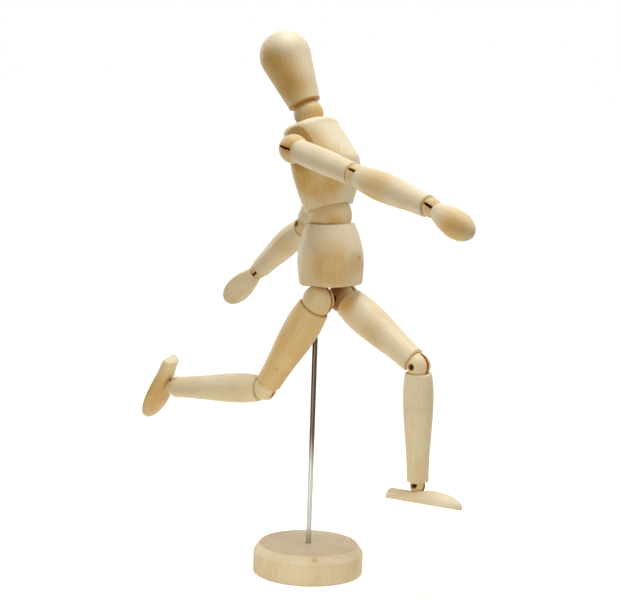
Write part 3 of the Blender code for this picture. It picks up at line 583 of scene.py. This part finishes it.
chest_low = WAIST_SHOWING / 2
chest_rows = []
for share in shares(14, first=0):
    bulge = math.sin(math.pi / 2 * share)
    chest_rows.append((
        chest_low + CHEST_BREAST_HEIGHT * share,
        CHEST_BOTTOM_HALF_WIDTH + (CHEST_HALF_WIDTH - CHEST_BOTTOM_HALF_WIDTH) * bulge,
        CHEST_END_FRONT + (CHEST_FRONT - CHEST_END_FRONT) * bulge,
        CHEST_END_BACK + (CHEST_BACK - CHEST_END_BACK) * bulge,
    ))
shoulder_line = CHEST_HEIGHT - CHEST_TOP_ROUND
for share in shares(14):
    chest_rows.append((
        chest_low + CHEST_BREAST_HEIGHT + (shoulder_line - CHEST_BREAST_HEIGHT) * share,
        eased(CHEST_HALF_WIDTH, CHEST_TOP_HALF_WIDTH + CHEST_TOP_ROUND, share),
        CHEST_FRONT + (CHEST_TOP_FRONT + CHEST_TOP_ROUND - CHEST_FRONT) * share,
        CHEST_BACK,
    ))
for lift in arc(7):
    inset = CHEST_TOP_ROUND * (1 - math.cos(lift))
    chest_rows.append((
        chest_low + shoulder_line + CHEST_TOP_ROUND * math.sin(lift),
        CHEST_TOP_HALF_WIDTH + CHEST_TOP_ROUND - inset,
        CHEST_TOP_FRONT + CHEST_TOP_ROUND - inset,
        CHEST_BACK - inset,
    ))


def chest_point(row, across, along):
    """Above the breast the rows rise a little towards the front and fall off towards the shoulders."""
    height, half_width, front, back = chest_rows[row]
    x, y = half_width * squared(across), (back if along > 0 else front) * squared(along)
    share = max(0, height - chest_low - CHEST_BREAST_HEIGHT) / (CHEST_HEIGHT - CHEST_BREAST_HEIGHT)
    return (x, y, height - share * (CHEST_TOP_SLOPE * y + CHEST_TOP_CROWN * (x / CHEST_TOP_HALF_WIDTH) ** 2))


right_shoulder, left_shoulder = joint_place("right_arm_swing"), joint_place("left_arm_swing")
chest_place = standing(joint_place("chest_turn"), joint_axis("chest_turn"), left_shoulder - right_shoulder)
chest = stack("chest_wood", len(chest_rows), chest_point, around=96)
shoulder_height = chest_low + CHEST_HEIGHT - SHOULDER_BELOW_TOP
shoulder_offset = (left_shoulder - right_shoulder).length / 2
hollow(chest, seat_tool(WAIST_RADIUS, (0, 0, 0)))
hollow(chest, seat_tool(NECK_RADIUS, (0, 0, chest_low + CHEST_HEIGHT + NECK_ABOVE_CHEST)))
for side in (-1, 1):
    scoop_centre = side * (shoulder_offset - SHOULDER_RADIUS - SCOOP_GAP + SCOOP_RADIUS)
    hollow(chest, seat_tool(SCOOP_RADIUS - FIT, (scoop_centre, 0, shoulder_height)))
drill(chest, SPRING_ROOM, (0, 0, 0), (0, 0, chest_low + CHEST_HEIGHT + NECK_ABOVE_CHEST))
for side in (-1, 1):
    peg_end = side * (shoulder_offset - SHOULDER_RADIUS - PEG_IN_TRUNK)
    drill(chest, PEG_BORE, (peg_end, 0, shoulder_height), (side * shoulder_offset, 0, shoulder_height))
soften(chest, CHEST_EDGE_ROUND, sharpest=35)
settle(chest, chest_place)
chest_seats = [(chest_place.translation, WAIST_RADIUS + FIT), (joint_place("neck_turn"), NECK_RADIUS + FIT)]
# Painted shade: under the right arm, on the lower front, and in both shoulder scoops.
chest_painted_shade = [
    darker_spot(-17, -6, 24, 9, 22, 1.0, AMBER),
    darker_spot(-13, -10, 10, 3, 13, 0.5, AMBER),
    darker_spot(-18, -4, 40, 6, 15, 0.6, AMBER),
    darker_spot(18, -4, 40, 6, 15, 0.6, AMBER),
]
chest_finish = wood("chest_finish", chest_place, (-40 * MM, 34 * MM, 12 * MM), PALE_WOOD, PALE_GRAIN,
                    chest_seats, darker_spots=chest_painted_shade)
hand_over(chest, chest_finish, "chest", "chest")

# ----------------------------------------------------------
# Neck: a small ball turned from the waist's yellower wood, between the hollows of the chest and the
# head. The spring through the chest ends in a bore in its underside and pulls it into its seat.
SPRING_IN_NECK = 3.9 * MM
neck_place = standing(joint_place("neck_turn"), joint_axis("neck_turn"), joint_axis("head_nod"))
neck_profile = bored(ball_profile(NECK_RADIUS), SPRING_IN_NECK)
neck = turn("neck_wood", [(radius, -height) for radius, height in neck_profile])
settle(neck, neck_place)
# The amber spot is painted shade under the head.
neck_finish = wood("neck_finish", neck_place, (20 * MM, 28 * MM, 0), BALL_WOOD, BALL_GRAIN,
                   darker_spots=[darker_spot(-4, -6, -2, 3, 9, 0.75, AMBER)])
hand_over(neck, neck_finish, "neck_ball", "neck")

# ----------------------------------------------------------
# Head: a plain egg with no features, turned from pale wood, lacquered and cut square underneath.
# A hollow in its foot sits on the neck ball, and the rim round it is darkened with painted shade.
HEAD_FOOT = 6.0 * MM
HEAD_LENGTH = 44.95 * MM
HEAD_CROWN_RADIUS = 14.6 * MM
HEAD_RIM_RADIUS = 9.3 * MM
HEAD_LIP = 0.6 * MM
HEAD_CROWN_ROWS = 28


def far_end(node, centre):
    """The middle of a node's points that lie furthest from a centre."""
    points = [vertex.co for vertex in frame["nodes"][node].data.vertices]
    reach = max((point - centre).length for point in points)
    furthest = [point for point in points if (point - centre).length > reach - 0.01 * MM]
    return sum(furthest, Vector()) / len(furthest)


def seat_profile(radius, centre, facing, first, last, rows=10):
    """A hollow seat between two angles from its axis; `facing` is 1 where the ball is above."""
    angles = [first + (last - first) * row / rows for row in range(rows + 1)]
    return [(radius * math.sin(angle), centre - facing * radius * math.cos(angle)) for angle in angles]


head_place = standing(neck_place.translation, far_end("head", neck_place.translation) - neck_place.translation,
                      joint_axis("head_nod"))
head_seat = NECK_RADIUS + FIT
head_profile = seat_profile(head_seat, 0, -1, 0, math.acos(HEAD_FOOT / head_seat))
for lift in arc(5, first=0):
    head_profile.append((HEAD_RIM_RADIUS - HEAD_LIP * (1 - math.sin(lift)),
                         HEAD_FOOT + HEAD_LIP * (1 - math.cos(lift))))
crown_centre = HEAD_FOOT + HEAD_LENGTH - HEAD_CROWN_RADIUS
head_taper = math.asin((HEAD_CROWN_RADIUS - HEAD_RIM_RADIUS) / (crown_centre - HEAD_FOOT))
for step in range(HEAD_CROWN_ROWS + 1):
    angle = -head_taper + (math.pi / 2 + head_taper) * step / HEAD_CROWN_ROWS
    head_profile.append((HEAD_CROWN_RADIUS * math.cos(angle), crown_centre + HEAD_CROWN_RADIUS * math.sin(angle)))
head_profile[0] = (0, head_seat)
head_profile[-1] = (0, crown_centre + HEAD_CROWN_RADIUS)
head = turn("head_wood", head_profile, around=96)
settle(head, head_place)
# Painted shade: the amber spots on the head's left side, and the dark bands round its rim.
head_painted_shade = [
    darker_spot(-12, 8, 26, 8, 24, 1.0, AMBER),
    darker_spot(-9, -2, 12, 3, 15, 0.8, AMBER),
]
head_rim_shade = [(HEAD_RIM_RADIUS, HEAD_FOOT, 1.2 * MM, 0.9, RIM_SHADE),
              (HEAD_RIM_RADIUS - 1.5 * MM, HEAD_FOOT, 2.1 * MM, 0.95, RIM_SHADE)]
head_finish = wood("head_finish", head_place, (24 * MM, -30 * MM, 0), PALE_WOOD, PALE_GRAIN,
                   [(neck_place.translation, head_seat)], rim=0.9, edges=head_rim_shade, darker_spots=head_painted_shade)
hand_over(head, head_finish, "head", "head")

# ----------------------------------------------------------
# Limb balls: turned balls of pale wood in the hips, knees, ankles, shoulders, elbows and wrists.
# Each is sawn by a slot for its steel tie and drilled from one side for the cross-pin.
BALL_RADIUS = {"hip": HIP_RADIUS, "knee": 6.8 * MM, "ankle": 4.4 * MM,
               "shoulder": SHOULDER_RADIUS, "elbow": 6.2 * MM, "wrist": 5.3 * MM}
BALL_EDGE_ROUND = 0.14 * MM
SLOT_WIDTH = 1.2 * MM
SLOT_TOP = {part: 2.0 * MM for part in BALL_RADIUS}
SLOT_TOP["hip"] = 7.0 * MM
# Painted shade: the slot insides are coloured near black or brown, and their lips are darkened.
SLOT_BLACK = (0.03, 0.014, 0.005)
SLOT_SHADES = {"hip": (0.24, 0.10, 0.03), "knee": (0.38, 0.19, 0.05), "ankle": (0.20, 0.09, 0.03)}
SLOT_LIP = 0.9 * MM
SLOT_LIPS = {"shoulder": 2.2 * MM}
TIE_EYE_RADIUS = 1.7 * MM
PIN_HOLE_RADIUS = 0.9 * MM
PIN_RECESS = 0.8 * MM
PIN_SINK_RADIUS = 1.8 * MM
PIN_SINK_DEPTH = 1.2 * MM
PIN_SINK_SHADE = (0.15, 0.05, 0.012)
PALE_BALL = (0.90, 0.81, 0.58)
BALL_TONES = {"knee": PALE_BALL, "ankle": PALE_BALL}
SHADED_BALL = ("left", "hip")
SHOULDER_SLOT_TILT = math.radians(45)
SIDES = {"right": -1, "left": 1}


def slotted_ball(name, radius, slot_top, slot_turn, bore_way):
    """A ball with a saw slot in the YZ plane, open towards -Z, a sunk pin hole let in from +X, and a bore."""
    piece = turn(name, ball_profile(radius), around=64)
    bpy.ops.object.select_all(action="DESELECT")
    depth = 2 * radius + slot_top
    saw_cut = (SLOT_WIDTH, 4 * radius, depth)
    bpy.ops.mesh.primitive_cube_add(size=1, location=(0, 0, slot_top - depth / 2), scale=saw_cut)
    hollow(piece, settle(bpy.context.object, slot_turn))
    outside = slot_turn @ Vector((2 * radius, 0, 0))
    for hole, end in ((PIN_HOLE_RADIUS, PIN_RECESS - FIT - radius), (PIN_SINK_RADIUS, radius - PIN_SINK_DEPTH)):
        drill(piece, hole, slot_turn @ Vector((end, 0, 0)), outside)
    soften(piece, BALL_EDGE_ROUND, sharpest=45, segments=2)
    drill(piece, PEG_BORE, bore_way * TIE_EYE_RADIUS, bore_way * 2 * radius)
    return piece


def ball_finish(label, part, place, slot_turn):
    """Ball wood with painted shade in its slot, in and round its sunk pin hole, and on some balls' shaded sides.
    """
    radius = BALL_RADIUS[part]
    turned = place @ slot_turn
    across, up = turned.to_3x3().col[0], turned.to_3x3().col[2]
    hole = slot_turn @ Vector((radius - 0.4 * MM, 0, 0))
    # Painted shade in and round the sunk pin hole.
    darker_spots = [(hole, PIN_SINK_RADIUS, PIN_SINK_RADIUS + 0.9 * MM, 0.8, AMBER),
              (hole, PIN_SINK_RADIUS - 0.1 * MM, PIN_SINK_RADIUS + 0.25 * MM, 1.0, PIN_SINK_SHADE)]
    if part == "shoulder":
        # Painted shade on the lower outer side of the shoulder ball.
        outer_side = (SIDES[label] * radius, -0.3 * radius, -0.7 * radius)
        darker_spots.append((outer_side, 0.5 * radius, 1.3 * radius, 0.9, AMBER))
    if (label, part) == SHADED_BALL:
        darker_spots.append(((radius, -0.3 * radius, 0.2 * radius), 0.9 * radius, 1.5 * radius, 0.95, HIP_SHADE))
    slot = (SLOT_WIDTH / 2, place.translation, across, up, SLOT_TOP[part], radius,
            SLOT_SHADES.get(part, SLOT_BLACK), SLOT_LIPS.get(part, SLOT_LIP))
    return wood(f"{label}_{part}_ball_finish", place, (SIDES[label] * 18 * MM, 22 * MM, 5 * MM),
                BALL_TONES.get(part, BALL_WOOD), BALL_GRAIN, darker_spots=darker_spots, slot=slot)


def limb_up(label, upper, lower):
    """From a limb's lower ball to its upper ball."""
    return joint_place(f"{label}_{upper}") - joint_place(f"{label}_{lower}")


for label, side in SIDES.items():
    inward = Vector((-side, 0, 0))
    ball_places = {
        "hip": (joint_axis(f"{label}_hip_turn"), f"{label}_thigh_swing"),
        "knee": (limb_up(label, "thigh_swing", "knee_turn"), f"{label}_knee_bend"),
        "ankle": (limb_up(label, "knee_bend", "ankle_turn"), f"{label}_ankle_bend"),
        "elbow": (limb_up(label, "arm_raise", "elbow_turn"), f"{label}_elbow_bend"),
        "wrist": (limb_up(label, "elbow_bend", "wrist_turn"), f"{label}_wrist_bend"),
    }
    for part, (up, bend) in ball_places.items():
        pin_way = joint_axis(bend)
        if part in ("elbow", "wrist"):
            pin_way = -side * pin_way
        elif pin_way.dot(inward) < 0:
            pin_way = -pin_way
        place = standing(joint_place(bend), up - up.project(pin_way), pin_way)
        straight = Matrix.Identity(4)
        bore_way = (place.to_3x3().inverted() @ up).normalized()
        piece = slotted_ball(f"{label}_{part}_ball_wood", BALL_RADIUS[part], SLOT_TOP[part], straight, bore_way)
        settle(piece, place)
        finish = ball_finish(label, part, place, straight)
        hand_over(piece, finish, f"{label}_{part}_ball", f"{label}_{part}")
    swing, lift = joint_axis(f"{label}_arm_swing"), joint_axis(f"{label}_arm_raise")
    place = standing(joint_place(f"{label}_arm_swing"), swing.cross(lift), swing)
    slot_turn = Matrix.Rotation(-side * SHOULDER_SLOT_TILT, 4, "Y") @ Matrix.Rotation(math.pi / 2, 4, "Z")
    shoulders = (joint_place(f"{name}_arm_swing") for name in SIDES)
    bore_way = (place.inverted() @ (sum(shoulders, Vector()) / 2)).normalized()
    piece = slotted_ball(f"{label}_shoulder_ball_wood", SHOULDER_RADIUS, SLOT_TOP["shoulder"], slot_turn, bore_way)
    settle(piece, place)
    finish = ball_finish(label, "shoulder", place, slot_turn)
    hand_over(piece, finish, f"{label}_shoulder_ball", f"{label}_shoulder")

# ----------------------------------------------------------
# Upper arms, forearms, thighs and shins: turned limbs, each swelling like a calf or a muscle, with
# a hollow seat at each end and a bore for its tie. The right thigh is of a warmer, yellower wood.
SEAT_HALF_ANGLES = {ball: math.radians(53 if ball == "knee" else 57) for ball in BALL_RADIUS}
LIP_HEIGHT = 0.9 * MM
WARM_WOOD = (0.82, 0.65, 0.36)
WARM_GRAIN = (0.64, 0.38, 0.12)
KNOT = (0.55, 0.30, 0.14)
# How strongly each limb's seat rims are darkened with painted shade.
LIMB_RIMS = {"upper_arm": 0.2, "forearm": 0.45, "thigh": 0.9, "shin": 0.35}
# The knot is the wood's own; the amber spots are painted shade on the limbs' shaded sides.
LIMB_MARKS_AND_SHADE = {
    ("right", "thigh"): [darker_spot(-8.0, -3.4, -46, 0.3, 1.6, 0.8, KNOT), darker_spot(-4, 7, -30, 2, 14, 0.5, AMBER)],
    ("left", "thigh"): [darker_spot(-8, -3, -9, 2, 9, 0.85, AMBER), darker_spot(-5, 6, -34, 4, 16, 0.4, AMBER)],
    ("left", "forearm"): [darker_spot(-5, -4, -20, 3, 14, 0.35, AMBER)],
    ("right", "forearm"): [darker_spot(-4, -5, -20, 5, 15, 0.7, AMBER)],
}
LIMBS = {
    "upper_arm": ((6.6 * MM, 7.0 * MM, 6.3 * MM), 0.45, "shoulder", "elbow", "arm_raise", "elbow_turn"),
    "forearm": ((6.5 * MM, 7.95 * MM, 6.1 * MM), 0.33, "elbow", "wrist", "elbow_bend", "wrist_turn"),
    "thigh": ((9.2 * MM, 10.2 * MM, 7.4 * MM), 0.22, "hip", "knee", "thigh_swing", "knee_turn"),
    "shin": ((7.6 * MM, 8.6 * MM, 6.2 * MM), 0.2, "knee", "ankle", "knee_bend", "ankle_turn"),
}


def lip(rim, outside, height):
    """A rounded lip from a seat's rim to the outside, `height` along from it."""
    return [(rim[0] + (outside - rim[0]) * math.sin(bend), rim[1] + height * (1 - math.cos(bend)))
            for bend in arc(6)]


def limb_seat(ball, centre, facing):
    """A limb's hollow end, from the bore for the tie to the rim."""
    radius = BALL_RADIUS[ball] + FIT
    return seat_profile(radius, centre, facing, math.asin(PEG_BORE / radius), SEAT_HALF_ANGLES[ball])


def limb_profile(length, radii, swell_at, upper_ball, lower_ball):
    """A limb's section from its upper seat over the swell to its lower seat, and back along the bore."""
    upper, lower = limb_seat(upper_ball, 0, 1), limb_seat(lower_ball, -length, -1)
    first, widest, last = radii
    top, bottom = upper[-1][1] - LIP_HEIGHT, lower[-1][1] + LIP_HEIGHT
    swell = top + (bottom - top) * swell_at
    profile = upper + lip(upper[-1], first, -LIP_HEIGHT)
    for share in shares(12):
        profile.append((first + (widest - first) * math.sin(math.pi / 2 * share), top + (swell - top) * share))
    for share in shares(16):
        profile.append((eased(widest, last, share), swell + (bottom - swell) * share))
    profile += lip(lower[-1], last, LIP_HEIGHT)[-2::-1] + lower[::-1]
    return profile + [profile[0]]


for label, side in SIDES.items():
    for part, (radii, swell_at, upper_ball, lower_ball, upper_joint, lower_joint) in LIMBS.items():
        up = limb_up(label, upper_joint, lower_joint)
        place = standing(joint_place(f"{label}_{upper_joint}"), up, joint_axis(f"{label}_{upper_joint}"))
        profile = limb_profile(up.length, radii, swell_at, upper_ball, lower_ball)
        piece = settle(turn(f"{label}_{part}_wood", profile), place)
        warm = (label, part) == ("right", "thigh")
        tones = (WARM_WOOD, WARM_GRAIN) if warm else (PALE_WOOD, PALE_GRAIN)
        seats = [(joint_place(f"{label}_{upper_joint}"), BALL_RADIUS[upper_ball] + FIT),
                 (joint_place(f"{label}_{lower_joint}"), BALL_RADIUS[lower_ball] + FIT)]
        finish = wood(f"{label}_{part}_finish", place, (side * 26 * MM, -20 * MM, 0), *tones, seats,
                      rim=LIMB_RIMS[part], darker_spots=LIMB_MARKS_AND_SHADE.get((label, part), ()))
        hand_over(piece, finish, f"{label}_{part}", f"{label}_{part}")

# ----------------------------------------------------------
# Hands: eggs turned from pale wood, hollowed at the small end for the wrist ball and sawn flat for
# the palm. A bore in the hollow takes the steel tie that holds the hand on.
HAND_REACH = 30.5 * MM
HAND_NECK_RADIUS = 4.35 * MM
HAND_RADIUS = 7.58 * MM
HAND_TONES = {"right": PALE_WOOD, "left": (0.95, 0.91, 0.76)}
HAND_FULLEST_REACH = 18.5 * MM
HAND_PALM_DEPTH = 2.5 * MM
HAND_EDGE_ROUND = 0.35 * MM
HAND_BORE_DEPTH = 14.7 * MM
# The right hand's amber spot is painted shade on its lower side.
HAND_PAINTED_SHADE = {"right": [darker_spot(-3, -6, -22, 3, 15, 0.9, AMBER)], "left": []}
PALM_SIDE = {"right": 1, "left": -1}

hand_seat = BALL_RADIUS["wrist"] + FIT
hand_start = math.sqrt(hand_seat ** 2 - HAND_NECK_RADIUS ** 2) - FIT
hand_profile = [(0, -hand_start)]
for share in shares(16, first=0):
    reach = hand_start + (HAND_FULLEST_REACH - hand_start) * share
    swell = math.sin(math.pi / 2 * share)
    hand_profile.append((HAND_NECK_RADIUS + (HAND_RADIUS - HAND_NECK_RADIUS) * swell, -reach))
for bend in arc(12):
    reach = HAND_FULLEST_REACH + (HAND_REACH - HAND_FULLEST_REACH) * math.sin(bend)
    hand_profile.append((HAND_RADIUS * math.cos(bend), -reach))
hand_profile[-1] = (0, -HAND_REACH)

for label, side in SIDES.items():
    wrist = joint_place(f"{label}_wrist_bend")
    place = standing(wrist, wrist - far_end(f"{label}_hand_tie", wrist), joint_axis(f"{label}_wrist_bend"))
    piece = turn(f"{label}_hand_wood", hand_profile)
    palm = PALM_SIDE[label]
    bpy.ops.object.mode_set(mode="EDIT")
    bpy.ops.mesh.select_all(action="SELECT")
    bpy.ops.mesh.bisect(plane_co=(0, palm * HAND_PALM_DEPTH, 0), plane_no=(0, palm, 0),
                        use_fill=True, clear_outer=True)
    bpy.ops.object.mode_set(mode="OBJECT")
    hollow(piece, seat_tool(BALL_RADIUS["wrist"], (0, 0, 0)))
    soften(piece, HAND_EDGE_ROUND, sharpest=30)
    drill(piece, PEG_BORE, (0, 0, 0), (0, 0, -HAND_BORE_DEPTH))
    settle(piece, place)
    finish = wood(f"{label}_hand_finish", place, (side * 14 * MM, -26 * MM, 0), HAND_TONES[label], PALE_GRAIN,
                  [(wrist, hand_seat)], rim=0.4, darker_spots=HAND_PAINTED_SHADE[label])
    hand_over(piece, finish, f"{label}_hand", f"{label}_hand")

# ----------------------------------------------------------
# Feet: lasts of pale wood with a flat sole and a domed top, cut square at the heel and rounded off to
# a thin toe. A hollow on top takes the ankle ball, and a bore in it the steel tie.
FOOT_TOE_REACH = 29.5 * MM
FOOT_HEEL_REACH = 16.8 * MM
FOOT_HEEL_ROUND = 2.0 * MM
FOOT_HEEL_END = 4.7 * MM
FOOT_HEEL = 6.0 * MM
FOOT_TOE = 10.5 * MM
FOOT_TOP_BELOW_ANKLE = 3.2 * MM
FOOT_THICKNESS = 6.35 * MM
FOOT_BALL_THICKNESS = 8.4 * MM
FOOT_TOE_THICKNESS = 1.4 * MM
FOOT_BALL_REACH = 10.5 * MM
FOOT_SOLE_EDGE = 0.7 * MM
FOOT_SOLE_SHARE = 0.35
FOOT_EDGE_ROUND = 0.25 * MM
FOOT_TOE_ROWS = 18
FOOT_TIP_ROWS_LEFT_OFF = 1.2
FOOT_BORE_DEPTH = 8.1 * MM
# The right foot's amber spot is painted shade on its top, which faces away from the light.
FOOT_PAINTED_SHADE = {"right": [darker_spot(-6, -6, -5, 6, 26, 0.75, AMBER)], "left": []}

foot_rows = []
for bend in arc(6, first=0)[:-1]:
    foot_rows.append((FOOT_HEEL_REACH - FOOT_HEEL_ROUND * (1 - math.cos(bend)),
                      FOOT_HEEL_END + (FOOT_HEEL - FOOT_HEEL_END) * math.sin(bend),
                      FOOT_THICKNESS - FOOT_HEEL_ROUND / 2 * (1 - math.sin(bend))))
foot_heel = FOOT_HEEL_REACH - FOOT_HEEL_ROUND
for share in shares(18, first=0):
    reach = foot_heel - (foot_heel + FOOT_BALL_REACH) * share
    foot_rise = (FOOT_BALL_THICKNESS - FOOT_THICKNESS) * max(0, -reach) / FOOT_BALL_REACH
    foot_rows.append((reach, eased(FOOT_HEEL, FOOT_TOE, share), FOOT_THICKNESS + foot_rise))
for step in range(1, FOOT_TOE_ROWS + 1):
    bend = math.pi / 2 * step / (FOOT_TOE_ROWS + FOOT_TIP_ROWS_LEFT_OFF)
    foot_rows.append((-FOOT_BALL_REACH - (FOOT_TOE_REACH - FOOT_BALL_REACH) * math.sin(bend),
                      FOOT_TOE * math.cos(bend),
                      FOOT_TOE_THICKNESS + (FOOT_BALL_THICKNESS - FOOT_TOE_THICKNESS) * math.cos(bend)))


def foot_point(row, across, along):
    """The upper half of the ring makes the domed top, and the lower half the sole with its edges."""
    reach, half_width, height = foot_rows[row]
    sole = -FOOT_TOP_BELOW_ANKLE - FOOT_THICKNESS
    edge = min(FOOT_SOLE_EDGE, height / 3)
    if along >= 0:
        return (half_width * squared(across), reach, sole + edge + (height - edge) * squared(along))
    drop = min(1, -along / FOOT_SOLE_SHARE)
    if drop < 1:
        bend = math.pi / 2 * drop
        beside = math.copysign(half_width - edge * (1 - math.cos(bend)), across)
        return (beside, reach, sole + edge * (1 - math.sin(bend)))
    return (across / math.sqrt(1 - FOOT_SOLE_SHARE ** 2) * (half_width - edge), reach, sole)


for label, side in SIDES.items():
    ankle = joint_place(f"{label}_ankle_bend")
    place = standing(ankle, ankle - far_end(f"{label}_foot_tie", ankle), joint_axis(f"{label}_ankle_bend"))
    piece = stack(f"{label}_foot_wood", len(foot_rows), foot_point, around=64)
    hollow(piece, seat_tool(BALL_RADIUS["ankle"], (0, 0, 0)))
    soften(piece, FOOT_EDGE_ROUND)
    drill(piece, PEG_BORE, (0, 0, 0), (0, 0, -FOOT_BORE_DEPTH))
    settle(piece, place)
    along_sole = place @ Matrix.Rotation(math.pi / 2, 4, "X")
    to_sole = along_sole.inverted() @ place
    foot_painted_shade = [(to_sole @ Vector(point), *rest) for point, *rest in FOOT_PAINTED_SHADE[label]]
    finish = wood(f"{label}_foot_finish", along_sole, (side * 20 * MM, 24 * MM, 0), PALE_WOOD, PALE_GRAIN,
                  [(ankle, BALL_RADIUS["ankle"] + FIT)], rim=0.6, darker_spots=foot_painted_shade)
    hand_over(piece, finish, f"{label}_foot", f"{label}_foot")

# ----------------------------------------------------------
# Steel in the joints: cross-pins, flat ties with an eye, pegs and the spring in the chest. They
# are browned steel, and only their edges show in the slots and the pin holes.
JOINT_BROWN = (0.024, 0.010, 0.004)
JOINT_BLACK = (0.013, 0.005, 0.002)
joint_finish = steel("joint_finish", JOINT_BROWN, JOINT_BLACK, 0.5)
for node_name, node in frame["nodes"].items():
    if node_name.endswith(("_pin", "_tie", "_peg", "_spring")):
        for material_slot in node.material_slots:
            material_slot.material = joint_finish

# ----------------------------------------------------------
# Studio: white paper that keeps a soft shadow, a broad lamp above, weaker ones on the right, behind
# on the left and low in front, a weak warm fill all round, and a long lens a little above the hips.
# A fade is a near and a far distance from the base, and the levels there.
FLOOR_SIZE = 14
VIEW_TURN = math.radians(-50.7)
VIEW_RISE = math.radians(7.9)
VIEW_ROLL = math.radians(1.9)
VIEW_DISTANCE = 1.081
VIEW_TARGET = Vector((0, 0, 0.1628))
PIXELS_ACROSS, PIXELS_DOWN = 621, 600
TARGET_PIXEL = (316.7, 294.1)
PIXEL = 0.57 * MM
SENSOR = 36
PAPER_LIT = (0.97, 0.86, 0.60)
PAPER_LIT_FADE = (0.08, 0.42, 0.85, 0.10)
PAPER_SEEN = (0.91, 0.96, 1.0)
PAPER_SEEN_FADE = (0.15, 0.6, 0.88, 0.2)
GLOW_FADE = (0.05, 0.6, 0.60, 1.0)
FILL_COLOUR = (1.0, 0.62, 0.20)
FILL_LEVEL = 0.22


def bare_tree(owner):
    """Switch a material or a world to nodes, with none in it yet."""
    owner.use_nodes = True
    owner.node_tree.nodes.clear()
    return owner.node_tree


def looked_at(tree):
    """1 for what the camera sees, also in a reflection or through glass."""
    path = add_node(tree, "LightPath").outputs
    direct = maths(tree, "MAXIMUM", path["Is Camera Ray"], path["Is Glossy Ray"])
    return maths(tree, "MAXIMUM", direct, path["Is Transmission Ray"])


def paper_colour(tree, colour, from_base, fade):
    """A colour of the floor whose level changes with the distance from the base."""
    level = ramp(tree, from_base, *fade)
    return add_node(tree, "VectorMath", {0: colour, "Scale": level}, operation="SCALE").outputs["Vector"]


bpy.ops.object.select_all(action="DESELECT")
bpy.ops.mesh.primitive_plane_add(size=FLOOR_SIZE)
floor = bpy.context.object
floor.name = "floor"
floor_finish = bpy.data.materials.new("floor_finish")
tree = bare_tree(floor_finish)
position = add_node(tree, "TexCoord").outputs["Object"]
from_base = add_node(tree, "VectorMath", {0: position}, operation="LENGTH").outputs["Value"]
seen = looked_at(tree)
colour = mixed(tree, seen, paper_colour(tree, PAPER_LIT, from_base, PAPER_LIT_FADE),
               paper_colour(tree, PAPER_SEEN, from_base, PAPER_SEEN_FADE))
paper = add_node(tree, "BsdfDiffuse", {"Color": colour})
glow_level = maths(tree, "MULTIPLY", seen, ramp(tree, from_base, *GLOW_FADE))
glow = add_node(tree, "Emission", {"Strength": glow_level})
both = add_node(tree, "AddShader", {0: paper.outputs[0], 1: glow.outputs[0]})
add_node(tree, "OutputMaterial", {"Surface": both.outputs[0]})
floor.data.materials.append(floor_finish)

world = bpy.data.worlds.new("studio")
bpy.context.scene.world = world
tree = bare_tree(world)
fill = add_node(tree, "Background", {"Color": (*FILL_COLOUR, 1), "Strength": FILL_LEVEL})
white = add_node(tree, "Background", {"Color": (1, 1, 1, 1), "Strength": 1})
either = add_node(tree, "MixShader", {0: looked_at(tree), 1: fill.outputs[0], 2: white.outputs[0]})
add_node(tree, "OutputWorld", {"Surface": either.outputs[0]})

view_back = Vector((math.sin(VIEW_TURN) * math.cos(VIEW_RISE), -math.cos(VIEW_TURN) * math.cos(VIEW_RISE),
                    math.sin(VIEW_RISE)))
view_right = Vector((math.cos(VIEW_TURN), math.sin(VIEW_TURN), 0))
view_up = view_back.cross(view_right)


def lamp(name, right, up, front, size, power, colour):
    """A square soft lamp, placed as the camera sees it from the figure, and aimed at the figure."""
    away = view_right * right + Vector((0, 0, 1)) * up + view_back * front
    data = bpy.data.lights.new(name, "AREA")
    data.size = size
    data.energy = power
    data.color = colour
    light = bpy.data.objects.new(name, data)
    bpy.context.collection.objects.link(light)
    light.location = VIEW_TARGET + away
    light.visible_camera = False
    light.rotation_euler = away.to_track_quat("Z", "Y").to_euler()


lamp("top_lamp", 0.05, 1.25, 0.0, 0.8, 13.7, (1.0, 1.0, 0.98))
lamp("right_lamp", 1.15, 0.45, 0.25, 0.7, 4.0, (1.0, 0.99, 0.97))
lamp("left_lamp", -1.0, 0.2, -0.8, 0.7, 3.6, (1.0, 0.98, 0.94))
lamp("low_lamp", -0.1, -0.13, 0.30, 0.16, 0.33, (1.0, 0.99, 0.94))

camera_data = bpy.data.cameras.new("camera")
camera = bpy.data.objects.new("camera", camera_data)
bpy.context.collection.objects.link(camera)
roll_right = view_right * math.cos(VIEW_ROLL) + view_up * math.sin(VIEW_ROLL)
roll_up = view_up * math.cos(VIEW_ROLL) - view_right * math.sin(VIEW_ROLL)
facing = Matrix((roll_right, roll_up, view_back)).transposed().to_4x4()
camera.matrix_world = Matrix.Translation(VIEW_TARGET + view_back * VIEW_DISTANCE) @ facing
camera_data.sensor_fit = "HORIZONTAL"
camera_data.sensor_width = SENSOR
camera_data.lens = SENSOR * VIEW_DISTANCE / (PIXEL * PIXELS_ACROSS)
camera_data.shift_x = (PIXELS_ACROSS / 2 - TARGET_PIXEL[0]) / PIXELS_ACROSS
camera_data.shift_y = (TARGET_PIXEL[1] - PIXELS_DOWN / 2) / PIXELS_ACROSS
camera_data.clip_start = 0.01
bpy.context.scene.camera = camera
bpy.context.scene.view_settings.view_transform = "Standard"
